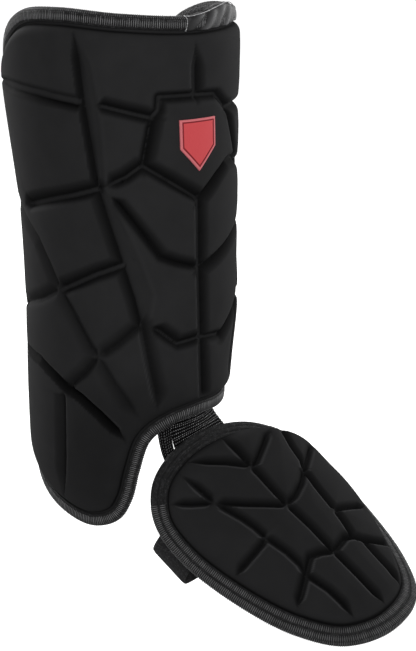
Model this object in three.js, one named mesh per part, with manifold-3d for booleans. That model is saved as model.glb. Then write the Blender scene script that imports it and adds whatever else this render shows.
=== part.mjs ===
// A batter's leg guard, in millimetres, +Z up, with the toe towards -Y.
// A moulded shin pad wraps the front and sides of the leg and drops to a lobe over the ankle on the -X side.
// A moulded foot pad hangs from its lower edge on a ribbed elastic, and a webbing loop passes under the shoe.
// Each pad is drawn flat, as a pattern, and a surface function bends the pattern round the leg or the foot.
// Lift is the distance of a layer from the outer skin, measured outwards.

import * as THREE from "three";
import Module from "manifold-3d";

const wasm = await Module();
wasm.setup();

// Layers of both pads
const PAD_THICKNESS = 10;
const RIM_THICKNESS = 4;
const LINING_THICKNESS = 1.2;
const TAPE_THICKNESS = 1.2;
const ELASTIC_THICKNESS = 1.6;
const WEBBING_THICKNESS = 2;
const GAP = 0.3;
const TAPE_GAP = 0.5;
const FACET_SAG = 0.5;

// Lifts of the layers
const RIM_LIFT = RIM_THICKNESS - PAD_THICKNESS;
const UNDER_PAD = -PAD_THICKNESS - GAP;
const UNDER_TAPE = -PAD_THICKNESS - TAPE_GAP - TAPE_THICKNESS - GAP - FACET_SAG;
const LINING_LIFT = UNDER_PAD - FACET_SAG;
const UNDER_LINING = LINING_LIFT - LINING_THICKNESS - GAP - FACET_SAG;

// The shin pad: across is measured round a circle of the girth radius, up from the front lower edge
const GIRTH_RADIUS = 75;
const SHIN_RADIUS = 77.5;
const CALF_FLARE = 10.5;
const FLARE_FROM = 90;
const FLARE_TO = 310;
const ANKLE_TAPER = 0.012;
const CALF_SET_BACK = 9;
const SET_BACK_FROM = 40;
const SET_BACK_TO = 290;
const CALF_LEAN = -4;
const LEAN_FROM = 120;
const LEAN_TO = 280;
const SHIN_KEEL = 0.04;
const SHIN_TAPE_WIDTH = 7;
const SHIN_RIM_WIDTH = 9;
const SHIN_SHOULDER_WIDTH = 10;
const SHIN_CELLS = { wide: 24, tall: 14 };
const LINING_CELLS = { wide: 24, tall: 7 };

// The foot pad: along is measured from the heel end to the toe, side from the crown line towards +X
const FOOT_HEEL = new THREE.Vector3(3, -86, -15);
const FOOT_YAW = THREE.MathUtils.degToRad(12);
const FOOT_SLOPE = THREE.MathUtils.degToRad(32);
const FOOT_ROLL = THREE.MathUtils.degToRad(18);
const FOOT_ARCH_RADIUS = 112;
const FOOT_TAPE_WIDTH = 10;
const FOOT_RIM_WIDTH = 11;
const FOOT_SHOULDER_WIDTH = 6;
const FOOT_CELLS = { wide: 14, tall: 8 };

// Moulded grooves
const GROOVE_DEPTH = 5;
const GROOVE_FLOOR = 4;
const GROOVE_MOUTH = 8;
const GROOVE_STEP = 28;
const CUTTER_RISE = 1.5;

// Straps and elastics
const CALF_STRAP_WIDTH = 38;
const CALF_STRAP_UPS = { calf_strap_upper: 205, calf_strap_lower: 75 };
const CALF_STRAP_FROM = 118;
const CALF_STRAP_TO = 337;
const CALF_STRAP_STEPS = 18;
const FOOT_STRAP_ALONG = [30, 63];
const ELASTIC_COLUMNS = 4;

// The badge, a five-sided home plate
const BADGE_TOP = 206;
const BADGE_SHOULDER = 186;
const BADGE_TIP = 170;
const BADGE_HALF_WIDTH = 13;
const BADGE_THICKNESS = 1.4;
const BADGE_COLUMNS = 4;

// The guard sits on the shin here
const SEAT_UP = 137;

// Outline of the shin pad, once round, anticlockwise from the lobe: across, up
const SHIN_OUTLINE = [
  { at: [-173, -47], corner: true }, { at: [-142, -69] }, { at: [-106, -82] }, { at: [-79, -86] },
  { at: [-60, -79] }, { at: [-51, -65] }, { at: [-45, -43] }, { at: [-37, -21] }, { at: [-23, -10] },
  { at: [0, -4] }, { at: [27, -4] }, { at: [80, -5] }, { at: [130, 3] },
  { at: [149, 17], corner: true }, { at: [155, 50] }, { at: [155, 140] }, { at: [155, 225] },
  { at: [146, 254], corner: true }, { at: [118, 269] }, { at: [60, 273] }, { at: [0, 272] },
  { at: [-45, 275] }, { at: [-87, 278] }, { at: [-120, 274] },
  { at: [-148, 257], corner: true }, { at: [-171, 233] }, { at: [-179, 200] }, { at: [-180, 100] },
  { at: [-180, 0] },
];

// Outline of the foot pad, once round from the heel on the -X side: along, side
const FOOT_OUTLINE = [
  { at: [6, -58], corner: true }, { at: [27, -75] }, { at: [60, -79] }, { at: [110, -70] },
  { at: [150, -55] },
  { at: [177, -34], corner: true }, { at: [188, -2] },
  { at: [179, 36], corner: true }, { at: [150, 60] }, { at: [110, 77] }, { at: [70, 85] }, { at: [34, 75] },
  { at: [10, 44], corner: true }, { at: [-3, 0] }, { at: [-3, -32] },
];

// Junctions of the shin pad's grooves: across, up
const SHIN_JUNCTIONS = {
  columnTop: [-75.5, 264], columnCollar: [-71.5, 219], columnUpper: [-67.5, 183], columnKnee: [-59, 158],
  columnMiddle: [-53, 107], columnLower: [-43.5, 63], columnFoot: [-36.5, 34], columnEnd: [-32, 4],
  sideCollar: [-158, 224.5], sideMiddle: [-137, 138], sideLow: [-158.5, 62.5], sideLobe: [-159.5, 31],
  crossUpper: [-101, 88], crossMiddle: [-72, 41], crossLower: [-98, 16],
  lobeBend: [-81, 4], lobeNotch: [-53, -19], lobeEnd: [-105.5, -65.5], notchEnd: [-44, -2],
  crestTop: [-1.5, 264], shieldTop: [-1.5, 224], shieldTopLeft: [-25, 223], shieldTopRight: [18.5, 223],
  shieldRightUpper: [30.5, 206.5], shieldRight: [38.5, 173], shieldBottom: [0, 151], shieldLeft: [-37, 172],
  shieldLeftUpper: [-31, 207],
  chevronLeft: [-28, 113], chevronTip: [-0.5, 103], chevronRight: [31.5, 110],
  lowLeft: [-19.5, 48.5], lowTip: [0, 52.5], lowRight: [18.5, 47.5], keelEnd: [0.5, 9],
  farTop: [79, 264], farCollar: [74, 219], farUpper: [62, 166], farKnee: [62, 140], farLower: [48, 58],
  farFoot: [38, 12], farSideCollar: [148, 220], farSideMiddle: [120, 130], farSideLow: [148, 54],
};

// Grooves of the shin pad, each through its junctions
const SHIN_GROOVES = [
  ["columnTop", "columnCollar", "columnUpper", "columnKnee", "columnMiddle", "columnLower", "columnFoot",
    "columnEnd"],
  ["sideCollar", "columnCollar", "shieldLeftUpper"],
  ["sideMiddle", "columnKnee"],
  ["sideLow", "crossUpper", "columnMiddle"],
  ["sideMiddle", "crossUpper", "crossMiddle", "notchEnd"],
  ["crossLower", "crossMiddle", "columnLower"],
  ["sideLobe", "crossLower", "lobeBend", "lobeNotch"],
  ["crossLower", "lobeEnd"],
  ["shieldTopLeft", "shieldTop", "shieldTopRight", "shieldRightUpper", "shieldRight", "shieldBottom",
    "shieldLeft", "shieldLeftUpper", "shieldTopLeft"],
  ["crestTop", "shieldTop"],
  ["shieldLeft", "columnKnee", "chevronLeft", "chevronTip", "chevronRight", "farKnee"],
  ["shieldBottom", "chevronTip", "lowTip", "keelEnd"],
  ["columnLower", "lowLeft", "lowTip", "lowRight", "farLower"],
  ["shieldRightUpper", "farCollar", "farSideCollar"],
  ["shieldRight", "farUpper"],
  ["farTop", "farCollar", "farUpper", "farKnee", "farLower", "farFoot"],
  ["farKnee", "farSideMiddle"],
  ["farLower", "farSideLow"],
];

// Junctions of the foot pad's grooves: along, side
const FOOT_JUNCTIONS = {
  heelFork: [38, 3], midFork: [78, 3], toeFork: [121, 3], toeEnd: [170, 3],
  heelLeft: [12, -28], heelMiddle: [14, 5], heelRight: [22, 46],
  leftFork: [44, -36], leftHeel: [16, -41], leftRim: [29, -55], leftLow: [90, -29], leftLowRim: [92, -55],
  toeLeft: [111, -13], toeLeftFork: [121, -24], toeLeftRim: [136, -44], toeLeftEnd: [164, -21],
  rightUpper: [61, 42], rightMiddle: [95, 36], rightLower: [121, 25], rightUpperRim: [48, 65],
  rightMiddleRim: [105, 61], toeRightFork: [133, 28], toeRightRim: [142, 46], toeRightEnd: [168, 24],
};

// Grooves of the foot pad, each through its junctions
const FOOT_GROOVES = [
  ["heelFork", "midFork", "toeFork", "toeEnd"],
  ["heelLeft", "heelFork", "heelRight"],
  ["heelMiddle", "heelFork"],
  ["midFork", "leftFork", "leftLow", "toeLeftFork", "toeLeftEnd"],
  ["leftHeel", "leftFork", "leftRim"],
  ["leftLow", "leftLowRim"],
  ["toeFork", "toeLeft", "toeLeftFork", "toeLeftRim"],
  ["midFork", "rightUpper", "rightUpperRim"],
  ["heelRight", "rightUpper", "rightMiddle", "rightLower", "toeRightFork", "toeRightEnd"],
  ["rightMiddle", "rightMiddleRim"],
  ["toeFork", "rightLower"],
  ["toeRightFork", "toeRightRim"],
];

// Half of the webbing loop, from under the pad to the sole: side, height in the foot's own frame
const FOOT_STRAP_HALF = [
  { side: -38, height: -19.2 }, { side: -47, height: -25.6 }, { side: -55, height: -32.5 },
  { side: -61, height: -40 }, { side: -65, height: -49 }, { side: -65.5, height: -56.5 },
  { side: -62, height: -62.5 }, { side: -53, height: -65.5 }, { side: -42, height: -66 },
];

// Stations of the two elastics, from behind the shin pad to under the foot pad: the two edges of the band
const INSTEP_ELASTIC = [
  { on: "shin", left: [-16, 4], right: [35, 10] },
  { on: "shin", left: [-16, -12], right: [35, -8] },
  { on: "foot", left: [-6, -24], right: [-4, 26] },
  { on: "foot", left: [10, -24], right: [12, 26] },
];
const SIDE_ELASTIC = [
  { on: "shin", left: [-28, 0], right: [-17.5, 3] },
  { on: "shin", left: [-28, -17], right: [-17.5, -12] },
  { on: "foot", left: [-5, -37], right: [-5, -26] },
  { on: "foot", left: [12, -37], right: [12, -26] },
];

const FINISHES = {
  skin: { color: 0x1c1c1d, roughness: 0.62 },
  lining: { color: 0x3a3b3d, roughness: 0.95 },
  tape: { color: 0x2b2c2e, roughness: 0.9 },
  elastic: { color: 0x1f2022, roughness: 0.9 },
  webbing: { color: 0x232426, roughness: 0.85 },
  badge: { color: 0xb8323a, roughness: 0.6 },
};

// A point of the shin pad: a slightly keeled tube that flares, sets back and leans towards the calf
function shinSurface([across, up], lift) {
  const angle = across / GIRTH_RADIUS;
  const flare = CALF_FLARE * THREE.MathUtils.smoothstep(up, FLARE_FROM, FLARE_TO);
  const girth = SHIN_RADIUS + flare + ANKLE_TAPER * Math.min(up, 0);
  const radius = girth * (1 + SHIN_KEEL * Math.cos(2 * angle)) + lift;
  const setBack = CALF_SET_BACK * THREE.MathUtils.smoothstep(up, SET_BACK_FROM, SET_BACK_TO);
  const lean = CALF_LEAN * THREE.MathUtils.smoothstep(up, LEAN_FROM, LEAN_TO);
  return new THREE.Vector3(lean + radius * Math.sin(angle), setBack - radius * Math.cos(angle), up);
}

// A point of the foot pad in the foot's own frame: x along, y to the side, z up from the crown line
function footSurface([along, side], lift) {
  const angle = side / FOOT_ARCH_RADIUS;
  const radius = FOOT_ARCH_RADIUS + lift;
  return new THREE.Vector3(along, radius * Math.sin(angle), radius * Math.cos(angle) - FOOT_ARCH_RADIUS);
}

// The foot's own frame, turned out, sloped down to the toe and rolled
function footFrame() {
  const toe = new THREE.Vector3(
    Math.sin(FOOT_YAW) * Math.cos(FOOT_SLOPE),
    -Math.cos(FOOT_YAW) * Math.cos(FOOT_SLOPE),
    -Math.sin(FOOT_SLOPE),
  );
  const side = new THREE.Vector3(Math.cos(FOOT_YAW), Math.sin(FOOT_YAW), 0);
  side.applyAxisAngle(toe, FOOT_ROLL);
  const crown = new THREE.Vector3().crossVectors(toe, side);
  return new THREE.Matrix4().makeBasis(toe, side, crown).setPosition(FOOT_HEEL);
}

const FOOT_FRAME = footFrame();

// A closed geometry from points and triangles that share them
function indexedGeometry(points, triangles) {
  const geometry = new THREE.BufferGeometry().setFromPoints(points);
  geometry.setIndex(triangles.flat());
  return geometry;
}

function solidOf(geometry) {
  const vertProperties = new Float32Array(geometry.getAttribute("position").array);
  const triVerts = new Uint32Array(geometry.index.array);
  return new wasm.Manifold(new wasm.Mesh({ numProp: 3, vertProperties, triVerts }));
}

function geometryOf(solid) {
  const mesh = solid.getMesh();
  const geometry = new THREE.BufferGeometry();
  geometry.setAttribute("position", new THREE.BufferAttribute(mesh.vertProperties, 3));
  geometry.setIndex(new THREE.BufferAttribute(mesh.triVerts, 1));
  return geometry;
}

// A body through sections with the same number of corners, closed on itself or capped at its ends. An open
// body's corners run out along one face and back along the other, so a ladder between the two faces caps it.
function loft(sections, closed = false) {
  const corners = sections[0].length;
  const last = sections.length - 1;
  const triangles = [];
  const quad = (a, b, c, d) => triangles.push([a, b, c], [a, c, d]);
  for (let station = 0; station < (closed ? sections.length : last); station += 1) {
    const here = station * corners;
    const next = ((station + 1) % sections.length) * corners;
    for (let corner = 0; corner < corners; corner += 1) {
      const after = (corner + 1) % corners;
      quad(here + corner, here + after, next + after, next + corner);
    }
  }
  if (!closed) {
    const end = last * corners;
    for (let corner = 0; corner < corners / 2 - 1; corner += 1) {
      const across = corners - 1 - corner;
      quad(across, across - 1, corner + 1, corner);
      quad(end + corner, end + corner + 1, end + across - 1, end + across);
    }
  }
  return indexedGeometry(sections.flat(), triangles);
}

// Evenly spaced points of one side of an outline, from one marked corner to the next, without the last
function outlineSide(curve, fromTurn, toTurn, count) {
  const fine = 400;
  const points = Array.from({ length: fine + 1 }, (_, k) => {
    const turn = fromTurn + ((toTurn - fromTurn) * k) / fine;
    return curve.getPoint(turn % 1);
  });
  const run = [0];
  for (let k = 1; k <= fine; k += 1) run.push(run[k - 1] + points[k].distanceTo(points[k - 1]));
  return Array.from({ length: count }, (_, k) => {
    const reach = (run[fine] * k) / count;
    const place = run.findIndex((length) => length >= reach);
    return [points[place].x, points[place].y];
  });
}

// The outline as a loop of points: its first, second, third and fourth sides in turn
function outlineLoop(outline, cells) {
  const curve = new THREE.CatmullRomCurve3(
    outline.map(({ at }) => new THREE.Vector3(at[0], at[1], 0)),
    true,
    "centripetal",
  );
  const corners = outline.flatMap(({ corner }, k) => (corner ? [k / outline.length] : []));
  return corners.flatMap((turn, side) => {
    const toTurn = side < 3 ? corners[side + 1] : 1 + corners[0];
    return outlineSide(curve, turn, toTurn, side % 2 === 0 ? cells.wide : cells.tall);
  });
}

// The loop moved inwards, square to itself
function insetLoop(loop, inset) {
  return loop.map((point, k) => {
    const before = loop[(k + loop.length - 1) % loop.length];
    const after = loop[(k + 1) % loop.length];
    const along = new THREE.Vector2(after[0] - before[0], after[1] - before[1]).normalize();
    return [point[0] - along.y * inset, point[1] + along.x * inset];
  });
}

// Pattern points that fill a loop, row by row, blended between its four sides
function fillLoop(loop, { wide, tall }) {
  const low = (k) => loop[k];
  const right = (k) => loop[wide + k];
  const high = (k) => loop[2 * wide + tall - k];
  const left = (k) => loop[(2 * (wide + tall) - k) % loop.length];
  const rows = [];
  for (let j = 0; j <= tall; j += 1) {
    const v = j / tall;
    for (let i = 0; i <= wide; i += 1) {
      const u = i / wide;
      rows.push([0, 1].map((axis) => {
        const rise = (1 - v) * low(i)[axis] + v * high(i)[axis];
        const reach = (1 - u) * left(j)[axis] + u * right(j)[axis];
        const lowCorners = (1 - u) * low(0)[axis] + u * low(wide)[axis];
        const highCorners = (1 - u) * high(0)[axis] + u * high(wide)[axis];
        return rise + reach - (1 - v) * lowCorners - v * highCorners;
      }));
    }
  }
  return rows;
}

// A padded layer: rings step in from its edge, each with its outer lift, and the last ring is filled
function paddedLayer(surface, outline, cells, rings, innerLift) {
  const { wide, tall } = cells;
  const loop = outlineLoop(outline, cells);
  const count = loop.length;
  const edgeRings = rings.slice(0, -1);
  const coreRing = rings.at(-1);
  const core = fillLoop(insetLoop(loop, coreRing.inset), cells);
  const coreAt = (i, j) => edgeRings.length * count + j * (wide + 1) + i;
  const ringAt = (ring, k) => {
    const step = k % count;
    if (ring < edgeRings.length) return ring * count + step;
    if (step <= wide) return coreAt(step, 0);
    if (step <= wide + tall) return coreAt(wide, step - wide);
    if (step <= 2 * wide + tall) return coreAt(2 * wide + tall - step, tall);
    return coreAt(0, count - step);
  };

  const edges = edgeRings.flatMap(({ inset, lift }) => insetLoop(loop, inset).map((at) => ({ at, lift })));
  const patterns = edges.concat(core.map((at) => ({ at, lift: coreRing.lift })));
  const outer = patterns.map(({ at, lift }) => surface(at, lift));
  const inner = patterns.map(({ at }) => surface(at, innerLift));

  const face = [];
  const quad = (a, b, c, d) => face.push([a, b, c], [a, c, d]);
  for (let ring = 0; ring < edgeRings.length; ring += 1) {
    for (let k = 0; k < count; k += 1) {
      quad(ringAt(ring, k), ringAt(ring, k + 1), ringAt(ring + 1, k + 1), ringAt(ring + 1, k));
    }
  }
  for (let j = 0; j < tall; j += 1) {
    for (let i = 0; i < wide; i += 1) {
      quad(coreAt(i, j), coreAt(i + 1, j), coreAt(i + 1, j + 1), coreAt(i, j + 1));
    }
  }
  const under = patterns.length;
  const underFace = face.map(([a, b, c]) => [under + a, under + c, under + b]);
  const wall = loop.flatMap((_, k) => {
    const here = ringAt(0, k);
    const next = ringAt(0, k + 1);
    return [[here, under + here, under + next], [here, under + next, next]];
  });
  return indexedGeometry(outer.concat(inner), [...face, ...underFace, ...wall]);
}

// A channel between two junctions, narrower at its floor, as the body that it takes away
function grooveCutter(surface, from, to) {
  const start = new THREE.Vector2(...from);
  const run = new THREE.Vector2(...to).sub(start);
  const length = run.length();
  run.normalize();
  const left = new THREE.Vector2(-run.y, run.x);
  const reach = GROOVE_FLOOR / 2;
  const steps = Math.ceil(length / GROOVE_STEP);
  const corners = [
    { half: -GROOVE_FLOOR / 2, lift: -GROOVE_DEPTH },
    { half: GROOVE_FLOOR / 2, lift: -GROOVE_DEPTH },
    { half: GROOVE_MOUTH / 2, lift: CUTTER_RISE },
    { half: -GROOVE_MOUTH / 2, lift: CUTTER_RISE },
  ];
  const sections = Array.from({ length: steps + 1 }, (_, k) => {
    const distance = -reach + ((length + 2 * reach) * k) / steps;
    const centre = start.clone().addScaledVector(run, distance);
    return corners.map(({ half, lift }) => {
      const at = centre.clone().addScaledVector(left, half);
      return surface(at.toArray(), lift);
    });
  });
  return solidOf(loft(sections));
}

// A moulded pad: foam pressed thin along its rim, with its grooves cut in and the crumbs between them dropped
function mouldedPad(surface, outline, cells, rimWidth, shoulderWidth, junctions, grooves) {
  const rings = [
    { inset: 0, lift: RIM_LIFT },
    { inset: rimWidth, lift: RIM_LIFT },
    { inset: rimWidth + shoulderWidth, lift: 0 },
  ];
  const foam = solidOf(paddedLayer(surface, outline, cells, rings, -PAD_THICKNESS));
  const cutters = grooves.flatMap((route) =>
    route.slice(1).map((name, k) => grooveCutter(surface, junctions[route[k]], junctions[name])),
  );
  const bodies = foam.subtract(wasm.Manifold.union(cutters)).decompose();
  const pad = bodies.reduce((largest, body) => (body.volume() > largest.volume() ? body : largest));
  return geometryOf(pad);
}

// The tape folded over a pad's rim
function bindingTape(surface, outline, cells, tapeWidth) {
  const loop = outlineLoop(outline, cells);
  const overRim = RIM_LIFT + TAPE_GAP;
  const underRim = -PAD_THICKNESS - TAPE_GAP;
  const section = [
    { inset: tapeWidth, lift: overRim + TAPE_THICKNESS },
    { inset: -TAPE_GAP - TAPE_THICKNESS, lift: overRim + TAPE_THICKNESS },
    { inset: -TAPE_GAP - TAPE_THICKNESS, lift: underRim - TAPE_THICKNESS },
    { inset: tapeWidth, lift: underRim - TAPE_THICKNESS },
    { inset: tapeWidth, lift: underRim },
    { inset: -TAPE_GAP, lift: underRim },
    { inset: -TAPE_GAP, lift: overRim },
    { inset: tapeWidth, lift: overRim },
  ];
  const edges = section.map(({ inset, lift }) => insetLoop(loop, inset).map((at) => surface(at, lift)));
  return loft(loop.map((_, k) => edges.map((edge) => edge[k])), true);
}

// The fabric bonded inside the shin pad, up to the tape
function shinLining() {
  const edge = [{ inset: SHIN_RIM_WIDTH, lift: LINING_LIFT }];
  return paddedLayer(shinSurface, SHIN_OUTLINE, LINING_CELLS, edge, LINING_LIFT - LINING_THICKNESS);
}

// A ribbed band from behind the shin pad's lower edge to under the foot pad's heel, bent across its width
function elasticBand(stations) {
  const place = ({ on, left, right }, share, depth) => {
    const at = left.map((start, axis) => THREE.MathUtils.lerp(start, right[axis], share));
    if (on === "shin") return shinSurface(at, UNDER_LINING - depth);
    return footSurface(at, UNDER_TAPE - depth).applyMatrix4(FOOT_FRAME);
  };
  const shares = Array.from({ length: ELASTIC_COLUMNS + 1 }, (_, k) => k / ELASTIC_COLUMNS);
  const sections = stations.map((station) => [
    ...shares.map((share) => place(station, share, ELASTIC_THICKNESS)),
    ...shares.map((share) => place(station, 1 - share, 0)),
  ]);
  return loft(sections);
}

// A plain strap round the back of the calf, with its ends inside the shin pad
function calfStrap(up) {
  const low = up - CALF_STRAP_WIDTH / 2;
  const high = up + CALF_STRAP_WIDTH / 2;
  const outside = UNDER_LINING;
  const inside = UNDER_LINING - WEBBING_THICKNESS;
  const sections = Array.from({ length: CALF_STRAP_STEPS + 1 }, (_, k) => {
    const across = CALF_STRAP_FROM + ((CALF_STRAP_TO - CALF_STRAP_FROM) * k) / CALF_STRAP_STEPS;
    return [
      shinSurface([across, low], inside),
      shinSurface([across, high], inside),
      shinSurface([across, high], outside),
      shinSurface([across, low], outside),
    ];
  });
  return loft(sections);
}

// The webbing loop under the shoe, in the foot's own frame
function footStrap() {
  const far = FOOT_STRAP_HALF.map(({ side, height }) => ({ side: -side, height })).reverse();
  const route = [...FOOT_STRAP_HALF, ...far].map(({ side, height }) => new THREE.Vector2(side, height));
  const [heelEdge, toeEdge] = FOOT_STRAP_ALONG;
  const sections = route.map((point, k) => {
    const before = route[Math.max(k - 1, 0)];
    const after = route[Math.min(k + 1, route.length - 1)];
    const along = after.clone().sub(before).normalize();
    const outward = new THREE.Vector2(along.y, -along.x).multiplyScalar(WEBBING_THICKNESS / 2);
    const inner = point.clone().sub(outward);
    const outer = point.clone().add(outward);
    return [
      new THREE.Vector3(heelEdge, inner.x, inner.y),
      new THREE.Vector3(toeEdge, inner.x, inner.y),
      new THREE.Vector3(toeEdge, outer.x, outer.y),
      new THREE.Vector3(heelEdge, outer.x, outer.y),
    ];
  });
  return loft(sections);
}

// The badge, bent to the shield panel that carries it
function badge() {
  const sections = Array.from({ length: BADGE_COLUMNS + 1 }, (_, k) => {
    const across = BADGE_HALF_WIDTH * ((2 * k) / BADGE_COLUMNS - 1);
    const low = THREE.MathUtils.lerp(BADGE_TIP, BADGE_SHOULDER, Math.abs(across) / BADGE_HALF_WIDTH);
    return [
      shinSurface([across, low], GAP),
      shinSurface([across, BADGE_TOP], GAP),
      shinSurface([across, BADGE_TOP], GAP + BADGE_THICKNESS),
      shinSurface([across, low], GAP + BADGE_THICKNESS),
    ];
  });
  return loft(sections);
}

function piece(name, geometry, finish) {
  const material = new THREE.MeshStandardMaterial({ metalness: 0, ...FINISHES[finish] });
  const mesh = new THREE.Mesh(geometry, material);
  mesh.name = name;
  return mesh;
}

const foot = new THREE.Group();
foot.applyMatrix4(FOOT_FRAME);
foot.add(
  piece(
    "foot_pad",
    mouldedPad(
      footSurface, FOOT_OUTLINE, FOOT_CELLS, FOOT_RIM_WIDTH, FOOT_SHOULDER_WIDTH,
      FOOT_JUNCTIONS, FOOT_GROOVES,
    ),
    "skin",
  ),
  piece("foot_binding", bindingTape(footSurface, FOOT_OUTLINE, FOOT_CELLS, FOOT_TAPE_WIDTH), "tape"),
  piece("foot_strap", footStrap(), "webbing"),
);

const guard = new THREE.Group();
guard.position.copy(shinSurface([0, SEAT_UP], LINING_LIFT - LINING_THICKNESS)).negate();
guard.add(
  piece(
    "shin_pad",
    mouldedPad(
      shinSurface, SHIN_OUTLINE, SHIN_CELLS, SHIN_RIM_WIDTH, SHIN_SHOULDER_WIDTH,
      SHIN_JUNCTIONS, SHIN_GROOVES,
    ),
    "skin",
  ),
  piece("shin_lining", shinLining(), "lining"),
  piece("shin_binding", bindingTape(shinSurface, SHIN_OUTLINE, SHIN_CELLS, SHIN_TAPE_WIDTH), "tape"),
  piece("instep_elastic", elasticBand(INSTEP_ELASTIC), "elastic"),
  piece("side_elastic", elasticBand(SIDE_ELASTIC), "elastic"),
  piece("badge", badge(), "badge"),
  foot,
);
for (const [name, up] of Object.entries(CALF_STRAP_UPS)) guard.add(piece(name, calfStrap(up), "webbing"));

const legGuard = new THREE.Group();
legGuard.add(guard);

export default legGuard;
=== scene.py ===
"""A batter's leg guard: moulded foam shin and foot pads with taped edges, elastics, straps and a badge.

Sizes are in millimetres in the tables and become metres when a mesh is made.
"""

import math

import bpy
import numpy as np
from mathutils import Matrix, Vector
from mathutils.kdtree import KDTree


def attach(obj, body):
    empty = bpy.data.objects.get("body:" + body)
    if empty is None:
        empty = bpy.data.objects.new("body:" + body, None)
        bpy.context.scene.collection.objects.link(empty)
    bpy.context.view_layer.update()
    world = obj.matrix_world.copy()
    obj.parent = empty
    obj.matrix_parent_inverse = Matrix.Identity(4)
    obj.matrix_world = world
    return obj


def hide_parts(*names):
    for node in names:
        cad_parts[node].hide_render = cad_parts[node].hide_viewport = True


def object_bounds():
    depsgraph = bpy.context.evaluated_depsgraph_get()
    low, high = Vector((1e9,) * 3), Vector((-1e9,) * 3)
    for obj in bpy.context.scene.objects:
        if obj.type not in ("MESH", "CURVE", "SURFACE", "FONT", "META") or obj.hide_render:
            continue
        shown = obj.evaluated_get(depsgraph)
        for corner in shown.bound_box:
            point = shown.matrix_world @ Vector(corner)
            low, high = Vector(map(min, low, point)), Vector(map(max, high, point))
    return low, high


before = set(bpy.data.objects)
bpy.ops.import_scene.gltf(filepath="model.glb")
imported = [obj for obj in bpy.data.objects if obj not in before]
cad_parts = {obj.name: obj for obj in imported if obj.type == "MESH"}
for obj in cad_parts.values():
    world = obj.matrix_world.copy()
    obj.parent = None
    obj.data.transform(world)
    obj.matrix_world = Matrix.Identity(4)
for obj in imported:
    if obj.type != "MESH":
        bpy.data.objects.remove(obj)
cad_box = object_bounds()

MM = 0.001

# The shin pad's shell: across is measured round a circle of the girth radius, up from the front lower edge
GIRTH_RADIUS = 75
SHIN_RADIUS = 77.5
CALF_FLARE = 10.5
FLARE_FROM = 90
FLARE_TO = 310
ANKLE_TAPER = 0.012
CALF_SET_BACK = 9
SET_BACK_FROM = 40
SET_BACK_TO = 290
CALF_LEAN = -4
LEAN_FROM = 120
LEAN_TO = 280
SHIN_KEEL = 0.04
FAR_TUCK = 5.5
FAR_TUCK_ACROSS = (5, 60)
FAR_TUCK_UP = (5, 75)
SEAT_UP = 137
SEAT_LIFT = -12.0

# The foot pad's shell: along is measured from the heel end to the toe, side from the crown line
FOOT_HEEL = (3, -86, -15)
FOOT_YAW = math.radians(12)
FOOT_SLOPE = math.radians(32)
FOOT_ROLL = math.radians(18)
FOOT_ARCH_RADIUS = 112

# Layers, as lifts from the outer skin
RIM_LIFT = -6.0
INNER_LIFT = -10.0
LINING_LIFT = -10.8
LINING_THICKNESS = 1.2
SHIN_UNDER = -12.8
FOOT_UNDER = -12.5
ELASTIC_THICKNESS = 1.6
WEBBING_THICKNESS = 2.0

# Outlines of the two pads in their own patterns; the marked corners part the four sides
SHIN_OUTLINE = [
    (-173, -47), (-142, -69), (-106, -82), (-79, -86), (-60, -79), (-51, -65), (-45, -43), (-37, -21),
    (-23, -10), (0, -4), (27, -4), (80, -5), (130, 3), (149, 17), (155, 50), (155, 140), (155, 225),
    (146, 254), (118, 269), (60, 273), (0, 272), (-45, 275), (-87, 278), (-120, 274), (-148, 257),
    (-171, 233), (-179, 200), (-180, 100), (-180, 0),
]
SHIN_CORNERS = [(-173, -47), (149, 17), (146, 254), (-148, 257)]
FOOT_OUTLINE = [
    (6, -58), (27, -75), (60, -79), (110, -70), (150, -55), (177, -34), (188, -2), (179, 36), (150, 60),
    (110, 77), (70, 85), (34, 75), (10, 44), (-3, 0), (-3, -32),
]
FOOT_CORNERS = [(6, -58), (177, -34), (179, 36), (10, 44)]

# How a groove's side runs up to its panel: its width, its fullness, where 1 is a quarter round that stands
# upright at its foot and 0 is soft at both ends, how much painted shade darkens it, how fast that thins out,
# and how strong the painted highlight on its edge is
GROOVE_SIDES = {
    "face": (5.6, 0.3, 1.0, 0.18, 0.0),
    "pit": (5.0, 0.6, 1.0, 0.6, 0.0),
    "cliff": (3.8, 0.3, 0.86, 0.18, 0.2),
    "wall": (7.2, 0.6, 0.86, 0.5, 0.0),
    "bank": (11.0, 0.5, 0.65, 0.6, 0.0),
    "lip": (4.8, 0.85, 0.82, 1.1, 0.3),
    "edge": (3.0, 0.85, 0.04, 1.4, 1.0),
    "slope": (8.5, 0.5, 0.69, 0.7, 0.0),
    "ramp": (6.5, 0.0, 0.04, 1.0, 0.4),
    "dip": (8.0, 0.0, 0.56, 0.9, 0.0),
    "mild": (4.0, 0.2, 0.47, 1.0, 0.0),
    "soft": (5.5, 0.0, 0.77, 0.8, 0.0),
    "steep": (5.2, 0.6, 0.86, 0.7, 0.0),
    "rib": (3.2, 0.85, 0.3, 1.4, 1.0),
}

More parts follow.
